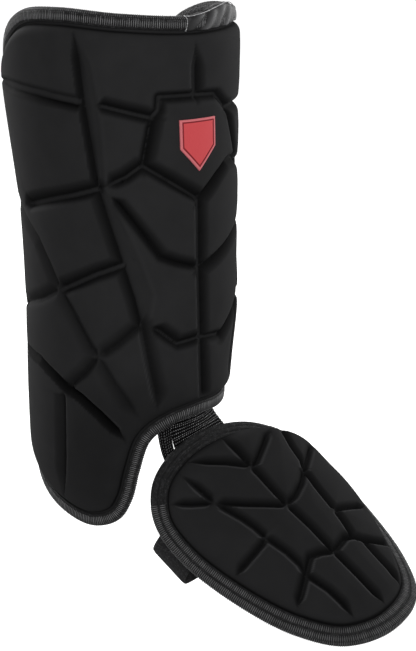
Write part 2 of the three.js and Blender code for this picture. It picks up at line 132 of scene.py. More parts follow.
# Where the moulded grooves start, meet and end
SHIN_JUNCTIONS = {
    "column_top": (-73.5, 268), "column_collar": (-70.6, 218.3), "column_knee": (-66.4, 159),
    "column_middle": (-52, 106.5), "column_lower": (-41.4, 66), "column_end": (-31, 3),
    "side_collar": (-168, 223.8), "collar_start": (-62.5, 216.8), "shield_left_upper": (-29, 207.8),
    "middle_start": (-140, 139), "side_upper": (-168, 141), "cross_upper": (-102.8, 84.6),
    "side_low": (-168, 60), "cross_middle": (-71, 41), "rise_end": (-42.2, 64.2),
    "cross_lower": (-95.7, 15.8), "notch_end": (-43, -2.6), "side_lobe": (-168, 32),
    "lobe_notch": (-52.5, -20), "lobe_top": (-101.4, 9.5), "lobe_end": (-105, -74),
    "crest_top": (-0.4, 259), "shield_top": (-0.2, 221.6),
    "shield_left": (-36.3, 175.6), "shield_bottom": (0.8, 150), "shield_right": (46, 172.6),
    "shield_right_upper": (29.9, 209.3), "knee_end": (-61, 161.2), "chevron_start": (-58, 155.5),
    "chevron_tip": (0.6, 101.6), "low_start": (-36, 64.4), "low_tip": (0.9, 51.6), "low_right": (20.4, 50),
    "keel_end": (2.4, 2),
    "far_top": (79, 264), "far_collar": (76, 209), "far_upper": (70, 163), "far_knee": (70, 131),
    "far_lower": (52, 72), "far_foot": (40, 12), "far_side_collar": (148, 212), "far_side_middle": (122, 124),
    "far_side_low": (148, 60),
}
# Over what length a groove rises out of the pad where it ends there or leaves a junction
SHIN_FADES = {
    "column_top": 24, "column_collar": 4, "side_collar": 26, "column_end": 14, "crest_top": 20,
    "collar_start": 5, "middle_start": 7, "cross_upper": 5, "cross_middle": 6, "rise_end": 4, "notch_end": 16,
    "lobe_top": 2, "lobe_end": 30, "lobe_notch": 14, "side_lobe": 20, "knee_end": 8, "chevron_start": 8,
    "low_start": 8, "keel_end": 10, "far_top": 12, "far_foot": 10,
}
FREE_FADE = 6.0
# Each groove as one walks along it: the side on the left hand, half of the floor to the left and to the
# right, the side on the right hand, the depth at the left and at the right foot, then the junctions it joins
# and the bends on the way. A floor that changes along the way has a number for each junction and bend.
SHIN_GROOVES = [
    ("ramp", [0.5, 4, 6, 4, 1.5], 0, "cliff", 2.2, 4.8,
     ["column_top", (-71.4, 243), "column_collar", (-68.4, 190), "column_knee"]),
    ("ramp", [1.5, 5, 8, 8.5, 1], 0, "wall", 2.2, 4.6,
     ["column_knee", (-61, 138), "column_middle", (-45, 83), "column_lower"]),
    ("slope", 0.2, 1.2, "edge", 4.2, 3.4, ["column_lower", (-36.9, 40), (-32, 15), "column_end"]),
    ("mild", 2.5, 2.8, "pit", 3.0, 3.2,
     ["side_collar", (-133, 223.8), (-108, 222.7), (-90, 220.8), "column_collar"]),
    ("wall", 1.7, 1.7, "lip", 4.8, 4.4, ["collar_start", (-47, 212.8), "shield_left_upper"]),
    ("wall", 2.0, 2.0, "lip", 4.8, 4.4, ["middle_start", (-108, 147.5), (-85, 153.3), "column_knee"]),
    ("soft", 0.3, 0.3, "dip", 2.6, 2.6,
     ["side_upper", (-147, 130.3), (-126, 117.3), (-115, 103.3), "cross_upper"]),
    ("slope", 1.2, 1.2, "mild", 3.0, 2.0, ["side_low", (-123.6, 74.2), "cross_upper"]),
    ("wall", 2.0, 2.0, "lip", 4.8, 4.4, ["cross_upper", (-92, 89.3), (-71.3, 99.1), "column_middle"]),
    ("soft", 0.3, 0.3, "dip", 2.6, 2.6,
     ["cross_upper", (-93.5, 72.9), (-86, 60.6), (-77.6, 47.1), "cross_middle"]),
    ("slope", 0.4, 0.4, "mild", 4.2, 3.6, ["cross_middle", (-57.6, 50.4), "rise_end"]),
    ("slope", 0.4, 0.4, "mild", 4.2, 3.6, ["cross_lower", (-82.2, 27.5), "cross_middle"]),
    ("mild", 0.3, 0.3, "dip", 2.4, 2.4, ["cross_middle", (-61, 23.7), (-53.7, 13.4), "notch_end"]),
    ("edge", 0.3, 1.2, "face", 3.6, 3.0, ["side_lobe", (-129, 30.6), (-109.6, 23.2), "cross_lower"]),
    ("edge", 0.3, 0.3, "face", 4.8, 5.0,
     ["cross_lower", (-85.5, 11.2), (-71.4, 1.1), (-58.6, -10.6), "lobe_notch"]),
    ("edge", 0.2, 0.2, "bank", 4.4, 4.4,
     ["lobe_top", (-101.6, -12), (-102.2, -35), (-103.4, -58), "lobe_end"]),
    ("steep", 2.0, 1.8, "edge", 4.6, 3.0, ["crest_top", "shield_top"]),
    ("lip", 1.6, 1.6, "lip", 4.4, 4.4,
     ["shield_left_upper", (-24.6, 213), (-23.7, 221.9), "shield_top", (17.4, 220.4), "shield_right_upper"]),
    ("wall", 0.8, 0.8, "lip", 4.8, 4.4, ["shield_left_upper", "shield_left"]),
    ("wall", 1.4, 1.4, "lip", 4.8, 4.4, ["shield_left", "shield_bottom"]),
    ("lip", 0.8, 0.8, "wall", 4.4, 4.8, ["shield_bottom", (17, 163.9), (30, 172.6), "shield_right"]),
    ("wall", 0.8, 0.8, "lip", 4.8, 4.4, ["shield_right_upper", (39, 188.2), "shield_right"]),
    ("lip", 1.4, 1.4, "wall", 4.4, 4.8, ["shield_left", (-47.3, 167.6), "knee_end"]),
    ("wall", 0.4, 0.4, "lip", 5.0, 5.0,
     ["chevron_start", (-42.4, 133.7), (-27.6, 112), (-16.9, 107.3), "chevron_tip"]),
    ("lip", 0.8, 0.8, "wall", 4.4, 5.0, ["chevron_tip", (17.8, 108.2), (47.9, 121.1), "far_knee"]),
    ("steep", 2.4, 1.4, "edge", 4.8, 3.8, ["shield_bottom", "chevron_tip", "low_tip", "keel_end"]),
    ("wall", 1.4, 1.4, "lip", 4.6, 4.2, ["low_start", (-28.2, 59), (-16.8, 49.4), "low_tip"]),
    ("lip", 1.4, 1.4, "lip", 4.2, 4.2, ["low_tip", "low_right"]),
    ("lip", 0.8, 0.8, "wall", 4.4, 4.8, ["low_right", (36.3, 60.2), "far_lower"]),
    ("lip", 1.0, 1.0, "wall", 4.6, 5.0, ["shield_right_upper", "far_collar", "far_side_collar"]),
    ("lip", 1.0, 1.0, "wall", 4.6, 5.0, ["shield_right", "far_upper"]),
    ("lip", 1.4, 1.4, "lip", 4.6, 4.6,
     ["far_top", "far_collar", "far_upper", "far_knee", "far_lower", "far_foot"]),
    ("lip", 1.3, 1.3, "lip", 4.6, 4.6, ["far_knee", "far_side_middle"]),
    ("lip", 1.3, 1.3, "lip", 4.6, 4.6, ["far_lower", "far_side_low"]),
]
FOOT_JUNCTIONS = {
    "heel_fork": (40.4, 2.7), "mid_fork": (78, 3.4), "toe_fork": (124.4, 4.4), "toe_end": (176, 4.3),
    "heel_left": (6, -33.5), "heel_middle": (6, 1), "heel_right": (24.5, 35.5), "left_fork": (45.7, -35.5),
    "left_heel": (12, -39.6), "left_rim": (24, -59.5), "left_low": (87.5, -26), "left_low_rim": (94.3, -61),
    "toe_left_fork": (126, -23.5), "toe_left_rim": (139, -44.5), "toe_left_end": (170, -20.4),
    "heel_far": (24, 46), "right_upper": (63.1, 36.6), "right_upper_rim": (47, 64),
    "right_middle": (99.8, 30.3), "right_middle_rim": (106.5, 60), "right_lower": (123, 25.8),
    "toe_right_fork": (128.4, 31), "toe_right_rim": (143, 56), "toe_right_end": (174, 26.5),
}
FOOT_FADES = {
    "heel_fork": 4, "mid_fork": 4, "toe_fork": 3, "left_fork": 7, "left_low": 3, "toe_left_fork": 2,
    "right_upper": 2, "right_middle": 3, "toe_end": 13, "heel_left": 22, "heel_middle": 16, "left_heel": 18,
    "left_rim": 12, "left_low_rim": 10, "toe_left_rim": 9, "heel_right": 10, "toe_left_end": 14,
    "toe_right_end": 14,
}
FOOT_GROOVES = [
    ("steep", 0.5, 0.5, "rib", 4.8, 4.4, ["heel_fork", (53.3, 3.3), (63, 3.3), "mid_fork"]),
    ("steep", 0.5, 0.5, "rib", 4.8, 4.4, ["mid_fork", (101.2, 4.5), "toe_fork"]),
    ("steep", 0.5, 0.5, "rib", 5.0, 4.6, ["toe_fork", (147.5, 4.9), "toe_end"]),
    ("steep", 0.5, 0.5, "rib", 4.8, 4.4, ["heel_left", (17.6, -20.1), (27.1, -8.6), "heel_fork"]),
    ("steep", 0.4, 0.4, "rib", 4.2, 4.0, ["heel_middle", (21.6, 2.6), "heel_fork"]),
    ("steep", 0.5, 0.5, "rib", 4.8, 4.4, ["heel_fork", (40.8, 8), (33.8, 20.1), (26.1, 32.7), "heel_right"]),
    ("steep", 0.5, 0.5, "rib", 4.8, 4.4, ["left_fork", (60.8, -19.1), (75, -1.9), "mid_fork"]),
    ("steep", 0.4, 0.4, "rib", 4.0, 3.8, ["left_heel", (28.1, -37.1), "left_fork"]),
    ("steep", 0.4, 0.4, "rib", 4.2, 4.0, ["left_rim", (35.7, -47.8), "left_fork"]),
    ("steep", 0.5, 0.5, "rib", 4.0, 3.8,
     ["left_fork", (51.9, -33.6), (66.6, -29), (76.6, -26.9), "left_low"]),
    ("steep", 0.5, 0.5, "rib", 3.8, 3.6, ["left_low", (105.3, -22.3), (117.2, -21.7), "toe_left_fork"]),
    ("steep", 0.5, 0.5, "rib", 4.4, 4.2, ["toe_left_fork", (143.2, -19.5), (155.2, -18.8), "toe_left_end"]),
    ("rib", 0.5, 0.5, "steep", 4.4, 4.8, ["left_low", (89.9, -29.6), (91.9, -41.2), "left_low_rim"]),
    ("rib", 0.8, 0.8, "steep", 4.4, 4.8,
     ["toe_fork", (119.7, -4.7), (117.9, -11.5), (120.4, -15.7), "toe_left_fork", (133.3, -34.4),
      "toe_left_rim"]),
    ("steep", 0.5, 0.5, "rib", 4.8, 4.4, ["mid_fork", (76.2, 13.4), (70.6, 26), "right_upper"]),
    ("steep", 0.5, 0.5, "rib", 4.8, 4.4, ["right_upper", "right_upper_rim"]),
    ("steep", 0.5, 0.5, "rib", 4.4, 4.2, ["heel_far", (43.3, 41.3), (55.8, 40.6), "right_upper"]),
    ("steep", 0.5, 0.5, "rib", 4.6, 4.2, ["right_upper", (79.2, 32.9), "right_middle"]),
    ("steep", 0.5, 0.5, "rib", 4.4, 4.2, ["right_middle", (111, 28.5), "right_lower"]),
    ("steep", 0.5, 0.5, "rib", 4.6, 4.2, ["right_middle", "right_middle_rim"]),
    ("steep", 0.8, 0.8, "rib", 4.8, 4.4,
     ["toe_fork", (122.8, 13), (121.1, 19.3), "right_lower", "toe_right_fork", (134.4, 40.3),
      "toe_right_rim"]),
    ("steep", 0.5, 0.5, "rib", 4.6, 4.4, ["toe_right_fork", (139.8, 30.3), (155.4, 29.7), "toe_right_end"]),
]

# Cross sections of the two edge tapes: distance in from the pad's edge, and lift
SHIN_TAPE_SECTION = [
    (7.0, -5.6), (7.3, -5.1), (6.9, -4.6), (5.2, -4.2), (2.4, -4.0), (0.4, -4.2), (-1.0, -5.0), (-1.8, -6.6),
    (-2.0, -8.4), (-1.6, -10.2), (-0.6, -11.4), (1.4, -11.9), (4.6, -11.9), (6.9, -11.6), (7.2, -11.0),
    (6.8, -10.5), (3.0, -10.5), (0.2, -10.2), (-0.6, -9.2), (-0.7, -7.4), (-0.2, -6.2), (2.6, -5.7),
]
FOOT_TAPE_SECTION = [
    (10.2, -5.6), (10.6, -5.0), (10.2, -4.4), (8.8, -3.9), (7.4, -4.4), (6.9, -4.7), (6.4, -4.3),
    (5.0, -3.6), (3.6, -4.1), (3.1, -4.5), (2.6, -4.1), (1.0, -3.6), (-0.8, -4.2), (-1.9, -5.6),
    (-2.3, -7.6), (-1.9, -9.8), (-0.8, -11.4), (1.4, -11.9), (5.0, -11.9), (9.4, -11.7), (10.2, -11.1),
    (9.6, -10.5), (4.0, -10.5), (0.2, -10.2), (-0.6, -9.2), (-0.7, -7.4), (-0.2, -6.2), (4.0, -5.7),
]

# The heel end of the foot tape is smooth, and its ribs start here along the pad
FOOT_RIBS_FROM = 16
# Mesh cells along the sides of each tape
SHIN_TAPE_CELLS = (240, 200)
FOOT_TAPE_CELLS = (140, 100)
TAPE_SECTION_STEPS = 3

# Half of the webbing loop under the shoe, across and up in the foot's own frame
FOOT_STRAP_HALF = [
    (-38, -19.2), (-47, -25.6), (-55, -32.5), (-61, -40), (-65, -49), (-65.5, -56.5), (-62, -62.5),
    (-53, -65.5), (-42, -66),
]
FOOT_STRAP_ALONG = (30, 63)
FOOT_STRAP_STEPS = 8
FOOT_STRAP_COLUMNS = 14
CALF_STRAP_UPS = {"calf_strap_upper": 205, "calf_strap_lower": 75}
CALF_STRAP_WIDTH = 38
CALF_STRAP_ACROSS = (118, 337)
CALF_STRAP_STEPS = 110
CALF_STRAP_COLUMNS = 20
# How far in from its edges a strap comes to its full thickness, and the share of that at the edges
STRAP_EDGE = 2.5
FOOT_STRAP_EDGE_SHARE = 0.55
CALF_STRAP_EDGE_SHARE = 0.4

# Stations of the two elastics: the shell they lie on, then their left and right edge there
INSTEP_ELASTIC = [
    ("shin", (-17, 4), (35, 10)), ("shin", (-17, -12), (35, -8)),
    ("foot", (-6, -25.4), (-4, 26)), ("foot", (10, -24), (12, 26)),
]
SIDE_ELASTIC = [
    ("shin", (-28, 0), (-17.3, 3)), ("shin", (-28, -17), (-17.1, -12.5)),
    ("foot", (-5, -38), (-5, -27)), ("foot", (12, -38), (12, -26.6)),
]
# Columns across an elastic, and steps between two of its stations
INSTEP_ELASTIC_GRID = (40, 24)
SIDE_ELASTIC_GRID = (14, 12)
# Rows of beads at shares of the instep elastic's length, and strands at shares of the side elastic's width
BEAD_ROWS = np.linspace(0.24, 0.78, 15)
STRANDS = np.linspace(0.06, 0.94, 7)

# The folded end of the top tape: where it starts and ends across the front, how it stands up, and how much it
# is larger than the tape below
OVERLAP_FROM = -5
OVERLAP_TO = 60
OVERLAP_CELLS = (480, 400)
OVERLAP_ABOVE = 240
OVERLAP_FOLD = 1.2
OVERLAP_RISE = 5.5
OVERLAP_PEAK = 0.6
OVERLAP_WIDER = 1.05
OVERLAP_THICKER = 1.12
OVERLAP_CLEARANCE = 0.25
OVERLAP_MIDDLE = -8
# How many points of the tape's section the folded end follows, and over how many of its own points the
# stitches at its end run
OVERLAP_SECTION_POINTS = 14
OVERLAP_END_POINTS = 24
# Slanting folds: their length, slant, grouping and shift, then their tone, the contrast of the painted shade
# in their hollows and painted light on their crests, and their lighter middle
FOLD_LENGTH = 2.4
FOLD_SLANT = 0.5
FOLD_GROUP = 7.1
FOLD_SHIFT = 0.4
FOLD_TONE = 0.22
FOLD_SHADE_CONTRAST = 0.45
FOLD_LIGHTER = 0.35
FOLD_LIGHTER_OVER = (0.1, 0.4)
# The tape stands up more the further out it lies: from this inset on, over this width
RAISED_FROM = 7.5
RAISED_OVER = 9.5
SEAM_OUT = 2.0
SEAM_LIFT = -5.0
# Pitch, length, width and height of the seam's stitches, the elastic's beads and its strands
SEAM_STITCH = (1.0, 1.1, 0.8, 0.7)
ELASTIC_BEAD = (1.6, 0.9, 0.9, 0.8)
ELASTIC_STRAND = (1.9, 1.6, 0.55, 0.6)

# The lining, drawn in from the pad's edge
LINING_INSET = 7.6
LINING_CELLS = (120, 96)
# Its soft wrinkles: their height, their length across and up, and how far and how slowly each drifts
WRINKLE_HEIGHT = 0.35
WRINKLE_ACROSS = 9
WRINKLE_UP = 23
DRIFT_ACROSS = 1.8
DRIFT_ACROSS_LENGTH = 31
DRIFT_UP = 0.7
DRIFT_UP_LENGTH = 17

# The five-sided badge by its corners, the centre that its rings draw in to, and the rings of its edge and
# field as inset and height
BADGE_TOP = 206
BADGE_SHOULDER = 186
BADGE_TIP = 170
BADGE_HALF_WIDTH = 13
BADGE_CENTRE_DROP = 3
BADGE_CENTRE = (0, 0.5 * (BADGE_TOP + BADGE_SHOULDER) - BADGE_CENTRE_DROP)
BADGE_SIDE_CELLS = 24
BADGE_REACH = 12.0
BADGE_RIM_REACH = 5.0
BADGE_RINGS = [
    (0.0, -0.4), (0.0, 1.0), (0.25, 1.35), (0.6, 1.5), (1.1, 1.5), (1.4, 1.4), (1.6, 1.15), (2.0, 1.15),
    (2.2, 1.35), (2.8, 1.4), (5.0, 1.4), (7.0, 1.4), (9.0, 1.4), (11.0, 1.4),
]

# Steps of a curve between two points of an outline, finer where the outline is spaced out anew
OUTLINE_STEPS = 40
EDGE_STEPS = 12
# The least gap between two points that a curve divides by
SHORTEST_GAP = 1e-4


def smooth_step(value, start, end):
    share = np.clip((value - start) / (end - start), 0, 1)
    return share * share * (3 - 2 * share)


def shin_shell(across, up, lift):
    """A point of the shin pad's shell, before the seat becomes the origin."""
    angle = across / GIRTH_RADIUS
    girth = SHIN_RADIUS + CALF_FLARE * smooth_step(up, FLARE_FROM, FLARE_TO) + ANKLE_TAPER * np.minimum(up, 0)
    tuck = FAR_TUCK * smooth_step(across, *FAR_TUCK_ACROSS) * (1 - smooth_step(up, *FAR_TUCK_UP))
    radius = girth * (1 + SHIN_KEEL * np.cos(2 * angle)) - tuck + lift
    set_back = CALF_SET_BACK * smooth_step(up, SET_BACK_FROM, SET_BACK_TO)
    lean = CALF_LEAN * smooth_step(up, LEAN_FROM, LEAN_TO)
    return np.stack(np.broadcast_arrays(
        lean + radius * np.sin(angle), set_back - radius * np.cos(angle), up + 0.0 * radius), -1)


SEAT = shin_shell(np.array(0.0), np.array(float(SEAT_UP)), SEAT_LIFT)


def shin_surface(pattern, lift):
    return shin_shell(pattern[..., 0], pattern[..., 1], lift) - SEAT


def foot_axes():
    toe = Vector((
        math.sin(FOOT_YAW) * math.cos(FOOT_SLOPE),
        -math.cos(FOOT_YAW) * math.cos(FOOT_SLOPE),
        -math.sin(FOOT_SLOPE),
    ))
    side = Matrix.Rotation(FOOT_ROLL, 3, toe) @ Vector((math.cos(FOOT_YAW), math.sin(FOOT_YAW), 0))
    return np.array([toe, side, toe.cross(side)])


FOOT_AXES = foot_axes()


def from_foot(points):
    """Points of the foot's own frame in the part's frame."""
    return points @ FOOT_AXES + np.array(FOOT_HEEL) - SEAT


def foot_surface(pattern, lift):
    angle = pattern[..., 1] / FOOT_ARCH_RADIUS
    radius = FOOT_ARCH_RADIUS + lift
    along = pattern[..., 0] + 0.0 * radius
    return from_foot(np.stack([along, radius * np.sin(angle), radius * np.cos(angle) - FOOT_ARCH_RADIUS], -1))


def curve_piece(before, start, end, after, shares):
    """Points of a centripetal Catmull-Rom curve between start and end."""
    steps = (start - before, end - start, after - end)
    gap_in, gap, gap_out = (max(np.linalg.norm(step) ** 0.5, SHORTEST_GAP) for step in steps)
    leave = ((start - before) / gap_in - (end - before) / (gap_in + gap) + (end - start) / gap) * gap
    reach = ((end - start) / gap - (after - start) / (gap + gap_out) + (after - end) / gap_out) * gap
    t = shares[:, None]
    return (
        start * (2 * t**3 - 3 * t**2 + 1) + leave * (t**3 - 2 * t**2 + t)
        + end * (3 * t**2 - 2 * t**3) + reach * (t**3 - t**2)
    )


def closed_curve(points, steps):
    points = np.array(points, float)
    count = len(points)
    shares = np.arange(steps) / steps
    return np.vstack([
        curve_piece(points[k - 1], points[k], points[(k + 1) % count], points[(k + 2) % count], shares)
        for k in range(count)
    ])


def open_curve(points, steps):
    points = np.array(points, float)
    ends = np.vstack([2 * points[:1] - points[1:2], points, 2 * points[-1:] - points[-2:-1]])
    shares = np.arange(steps) / steps
    parts = [curve_piece(*ends[k:k + 4], shares) for k in range(len(points) - 1)]
    return np.vstack([*parts, points[-1:]])


def lengths_along(points):
    steps = np.linalg.norm(np.diff(points, axis=0), axis=1)
    return np.concatenate([[0], np.cumsum(steps)])


def spaced(points, count):
    """count + 1 points, evenly spaced along a polyline."""
    travel = lengths_along(points)
    wanted = np.linspace(0, travel[-1], count + 1)
    return np.stack([np.interp(wanted, travel, points[:, axis]) for axis in range(points.shape[1])], -1)


def outline_loop(outline, corners, wide, tall):
    """The closed outline from its first corner on, each of its four sides evenly spaced."""
    fine = closed_curve(outline, OUTLINE_STEPS)
    marks = [outline.index(corner) * OUTLINE_STEPS for corner in corners]
    sides = []
    for k, count in enumerate((wide, tall, wide, tall)):
        start, end = marks[k], marks[(k + 1) % 4]
        if end <= start:
            end += len(fine)
        sides.append(spaced(fine[np.arange(start, end + 1) % len(fine)], count)[:-1])
    return np.vstack(sides)


def inward(loop):
    """Unit directions into the pad at each point of an anticlockwise loop."""
    along = np.roll(loop, -1, axis=0) - np.roll(loop, 1, axis=0)
    along /= np.linalg.norm(along, axis=1)[:, None]
    return np.stack([-along[:, 1], along[:, 0]], -1)


class Pad:
    """A pad's pattern: its surface, its outline and the corners that part the four sides of that."""

    def __init__(self, surface, outline, corners):
        self.surface = surface
        self.outline = outline
        self.corners = corners

    def edge(self, cells):
        """The outline as a loop with so many cells along its sides, and the directions into the pad."""
        loop = outline_loop(self.outline, self.corners, *cells)
        return loop, inward(loop)


SHIN = Pad(shin_surface, SHIN_OUTLINE, SHIN_CORNERS)
FOOT = Pad(foot_surface, FOOT_OUTLINE, FOOT_CORNERS)


def filled(loop, wide, tall):
    """A grid of pattern points that fills a loop of four sides."""
    bottom = loop[:wide + 1]
    right = loop[wide:wide + tall + 1]
    top = loop[wide + tall:2 * wide + tall + 1][::-1]
    left = np.vstack([loop[2 * wide + tall:], loop[:1]])[::-1]
    u = np.linspace(0, 1, wide + 1)[None, :, None]
    v = np.linspace(0, 1, tall + 1)[:, None, None]
    ruled = (1 - v) * bottom[None] + v * top[None] + (1 - u) * left[:, None] + u * right[:, None]
    corners = (
        (1 - u) * (1 - v) * bottom[0] + u * (1 - v) * bottom[-1] + (1 - u) * v * top[0] + u * v * top[-1]
    )
    return ruled - corners


def edge_numbers(wide, tall):
    """Where the loop's points are in the flattened grid, in the loop's order."""
    grid = np.arange((wide + 1) * (tall + 1)).reshape(tall + 1, wide + 1)
    return np.concatenate([grid[0, :-1], grid[:-1, -1], grid[-1, :0:-1], grid[:0:-1, 0]])


def grid_faces(wide, tall):
    grid = np.arange((wide + 1) * (tall + 1)).reshape(tall + 1, wide + 1)
    return np.stack([grid[:-1, :-1], grid[:-1, 1:], grid[1:, 1:], grid[1:, :-1]], -1).reshape(-1, 4)


def loop_faces(outer, inner):
    """Quads between two loops of point numbers, anticlockwise where outer surrounds inner."""
    return np.stack([outer, np.roll(outer, -1), np.roll(inner, -1), inner], -1)


def to_segments(points, starts, ends):
    """Distance from each point to each segment, the share along it of the nearest place, and the hand, where
    left is positive."""
    run = ends - starts
    reach = points[:, None] - starts[None]
    share = np.clip((reach * run).sum(-1) / (run * run).sum(-1), 0, 1)
    gap = np.linalg.norm(reach - share[..., None] * run, axis=-1)
    hand = np.sign(run[:, 0] * reach[..., 1] - run[:, 1] * reach[..., 0])
    return gap, share, hand


def between(pairs, share):
    """Values that change evenly from the first to the second of each pair."""
    return pairs[..., 0] + (pairs[..., 1] - pairs[..., 0]) * share


def side_profile(near, fullness):
    """Depth share of a groove's side, where near runs from 0 at the panel to 1 at the foot."""
    full = np.where(fullness > 0, fullness, 0.5)
    rounded = (1 - np.sqrt(1 - (full * near) ** 2)) / (1 - np.sqrt(1 - full**2))
    return np.where(fullness > 0, rounded, smooth_step(near, 0, 1))


BLOCK_POINTS = 6000


def in_blocks(count):
    """The numbers of that many points, in blocks that are small enough to measure at once."""
    return np.array_split(np.arange(count), max(1, count // BLOCK_POINTS))


# How sharply two grooves join, how far the painted shade reaches onto a floor, and where and how widely a
# side takes a painted highlight
JOIN_POWER = 8.0
PAINTED_SHADE_FADE = 0.9
HIGHLIGHT_PLACE = 0.25
HIGHLIGHT_REACH = 0.22
# How a groove rises out of the pad: how far it runs past its end, its least share of its width, and how its
# depth and painted shade follow the share that is left
FADE_OVERRUN = 1.0
LEAST_WIDTH = 0.12
DEPTH_FADE_POWER = 0.7
PAINTED_SHADE_FADE_POWER = 0.4
# What counts as a floor: the least width, the margin at its feet and the share of the groove that is left
LEAST_FLOOR = 0.1
FLOOR_MARGIN = 0.05
FLOOR_LEFT = 0.5
# Where less than this share of a groove is left, it has no painted highlight
HIGHLIGHT_LEFT = 0.1
FAR_OFF = 1000.0


class GrooveMap:
    """The moulded grooves of one pad."""

    def __init__(self, junctions, fades, grooves):
        stops = [stop for row in grooves for stop in row[-1]]
        columns = {key: [] for key in ("start", "stop", "floor", "to_end")}
        rows = {key: [] for key in ("sides", "depth", "fade")}
        self.first, self.feet = [], []
        for left_side, left_floor, right_floor, right_side, left_depth, right_depth, route in grooves:
            points = np.array([junctions.get(stop, stop) for stop in route], float)
            travel = lengths_along(points)
            floors = np.stack([np.broadcast_to(half, len(route)) for half in (left_floor, right_floor)])
            sides = np.array([GROOVE_SIDES[left_side], GROOVE_SIDES[right_side]])
            ends = (route[0], route[-1])
            fade = [fades.get(end, FREE_FADE if stops.count(end) == 1 else 0) for end in ends]
            self.first.append(len(columns["start"]))
            rows["sides"].append(sides)
            rows["depth"].append((right_depth, left_depth))
            rows["fade"].append(fade)
            to_end = np.stack([travel, travel[-1] - travel])
            for k in range(len(route) - 1):
                columns["start"].append(points[k])
                columns["stop"].append(points[k + 1])
                columns["floor"].append(floors[:, k:k + 2])
                columns["to_end"].append(to_end[:, k:k + 2])
            self.feet += self.foot_lines(points, floors, sides[:, 1])
        for key, values in (columns | rows).items():
            setattr(self, key, np.array(values, float))

    @staticmethod
    def foot_lines(points, floors, fullness):
        """The lines where a groove's round sides meet its floor."""
        along = np.gradient(points, axis=0)
        along /= np.linalg.norm(along, axis=1)[:, None]
        to_left = np.stack([-along[:, 1], along[:, 0]], -1)
        both = ((1, floors[0], fullness[0]), (-1, floors[1], fullness[1]))
        return [points + hand * floor[:, None] * to_left for hand, floor, full in both if full > 0]

    def nearest(self, points):
        """The nearest place on each groove: its distance, its hand, the share along its segment and that
        segment's number."""
        gap, share, hand = to_segments(points, self.start, self.stop)
        bounds = [*self.first, gap.shape[1]]
        parts = [first + gap[:, first:last].argmin(1) for first, last in zip(bounds[:-1], bounds[1:])]
        number = np.stack(parts, 1)
        return (*(np.take_along_axis(values, number, 1) for values in (gap, hand, share)), number)

    def measure(self, points):
        """Depth of the grooves at each pattern point, its distance from the nearest one, the painted shade in
        the groove sides and the painted highlight on their lips."""
        found = np.zeros((4, len(points)))
        for block in in_blocks(len(points)):
            gap, hand, share, number = self.nearest(points[block])
            left = hand >= 0
            to_end = between(self.to_end[number], share[..., None])
            sunk = smooth_step(to_end, -FADE_OVERRUN, np.maximum(self.fade, FADE_OVERRUN))
            kept = np.where(self.fade > 0, sunk, 1.0).min(-1)
            floors = between(self.floor[number], share[..., None]) * kept[..., None]
            narrowed = np.maximum(kept, LEAST_WIDTH)
            side = np.where(left[..., None], self.sides[:, 0], self.sides[:, 1])
            width = side[..., 0] * narrowed
            climb = 1 - (gap - np.where(left, floors[..., 0], floors[..., 1])) / width
            to_foot = np.stack([floors[..., 0] - hand * gap, hand * gap + floors[..., 1]], -1)
            across = np.clip(to_foot[..., 1] / np.maximum(floors.sum(-1), LEAST_FLOOR), 0, 1)
            profile = side_profile(np.clip(climb, 0, 1), side[..., 1])
            deep = between(self.depth, across) * profile * kept**DEPTH_FADE_POWER
            found[0, block] = (deep**JOIN_POWER).sum(1) ** (1 / JOIN_POWER)
            found[1, block] = np.maximum((gap - floors.max(-1) - width).min(1), 0)

            # Painted shade: a groove's sides and the floor beside them are darkened in colour, most at the
            # foot.
            down_side = np.clip(1 + to_foot / (self.sides[..., 0] * narrowed[..., None]), 0, 1)
            on_side = down_side ** self.sides[..., 3]
            shade_share = np.where(to_foot < 0, on_side, np.exp(-np.maximum(to_foot, 0) / PAINTED_SHADE_FADE))
            painted_shade = (self.sides[..., 2] * shade_share).max(-1) * kept**PAINTED_SHADE_FADE_POWER
            on_floor = (to_foot.min(-1) > FLOOR_MARGIN) & (kept > FLOOR_LEFT)
            own = np.where(on_floor, painted_shade, 0).max(1)
            found[2, block] = np.where(on_floor.any(1), own, painted_shade.max(1))
            # Painted highlight: a lighter band in colour near the top of the side that climbs out first.
            first = np.argmax(np.where(kept > HIGHLIGHT_LEFT, climb, -FAR_OFF), 1)[:, None]
            highlight = side[..., 4] * kept * np.exp(-((climb - HIGHLIGHT_PLACE) / HIGHLIGHT_REACH) ** 2)
            found[3, block] = np.take_along_axis(highlight, first, 1)[:, 0] * (1 - found[2, block])
        return found


DEEPEST_LIFT = -7.4
# How far from a groove a panel comes to its full crown, and from the rim, in widths of the shoulder
CROWN_REACH = 9.0
CROWN_RUN = 2.5
# Where the grooves start and come to their full depth, in from the rim
GROOVES_FROM = -0.5
GROOVES_FULL = 5.0
# The crease beside the rim: how much painted shade darkens it, its place in from the rim and its width
CREASE_SHADE = 0.73
CREASE_PLACE = 0.3
CREASE_WIDTH = 0.7


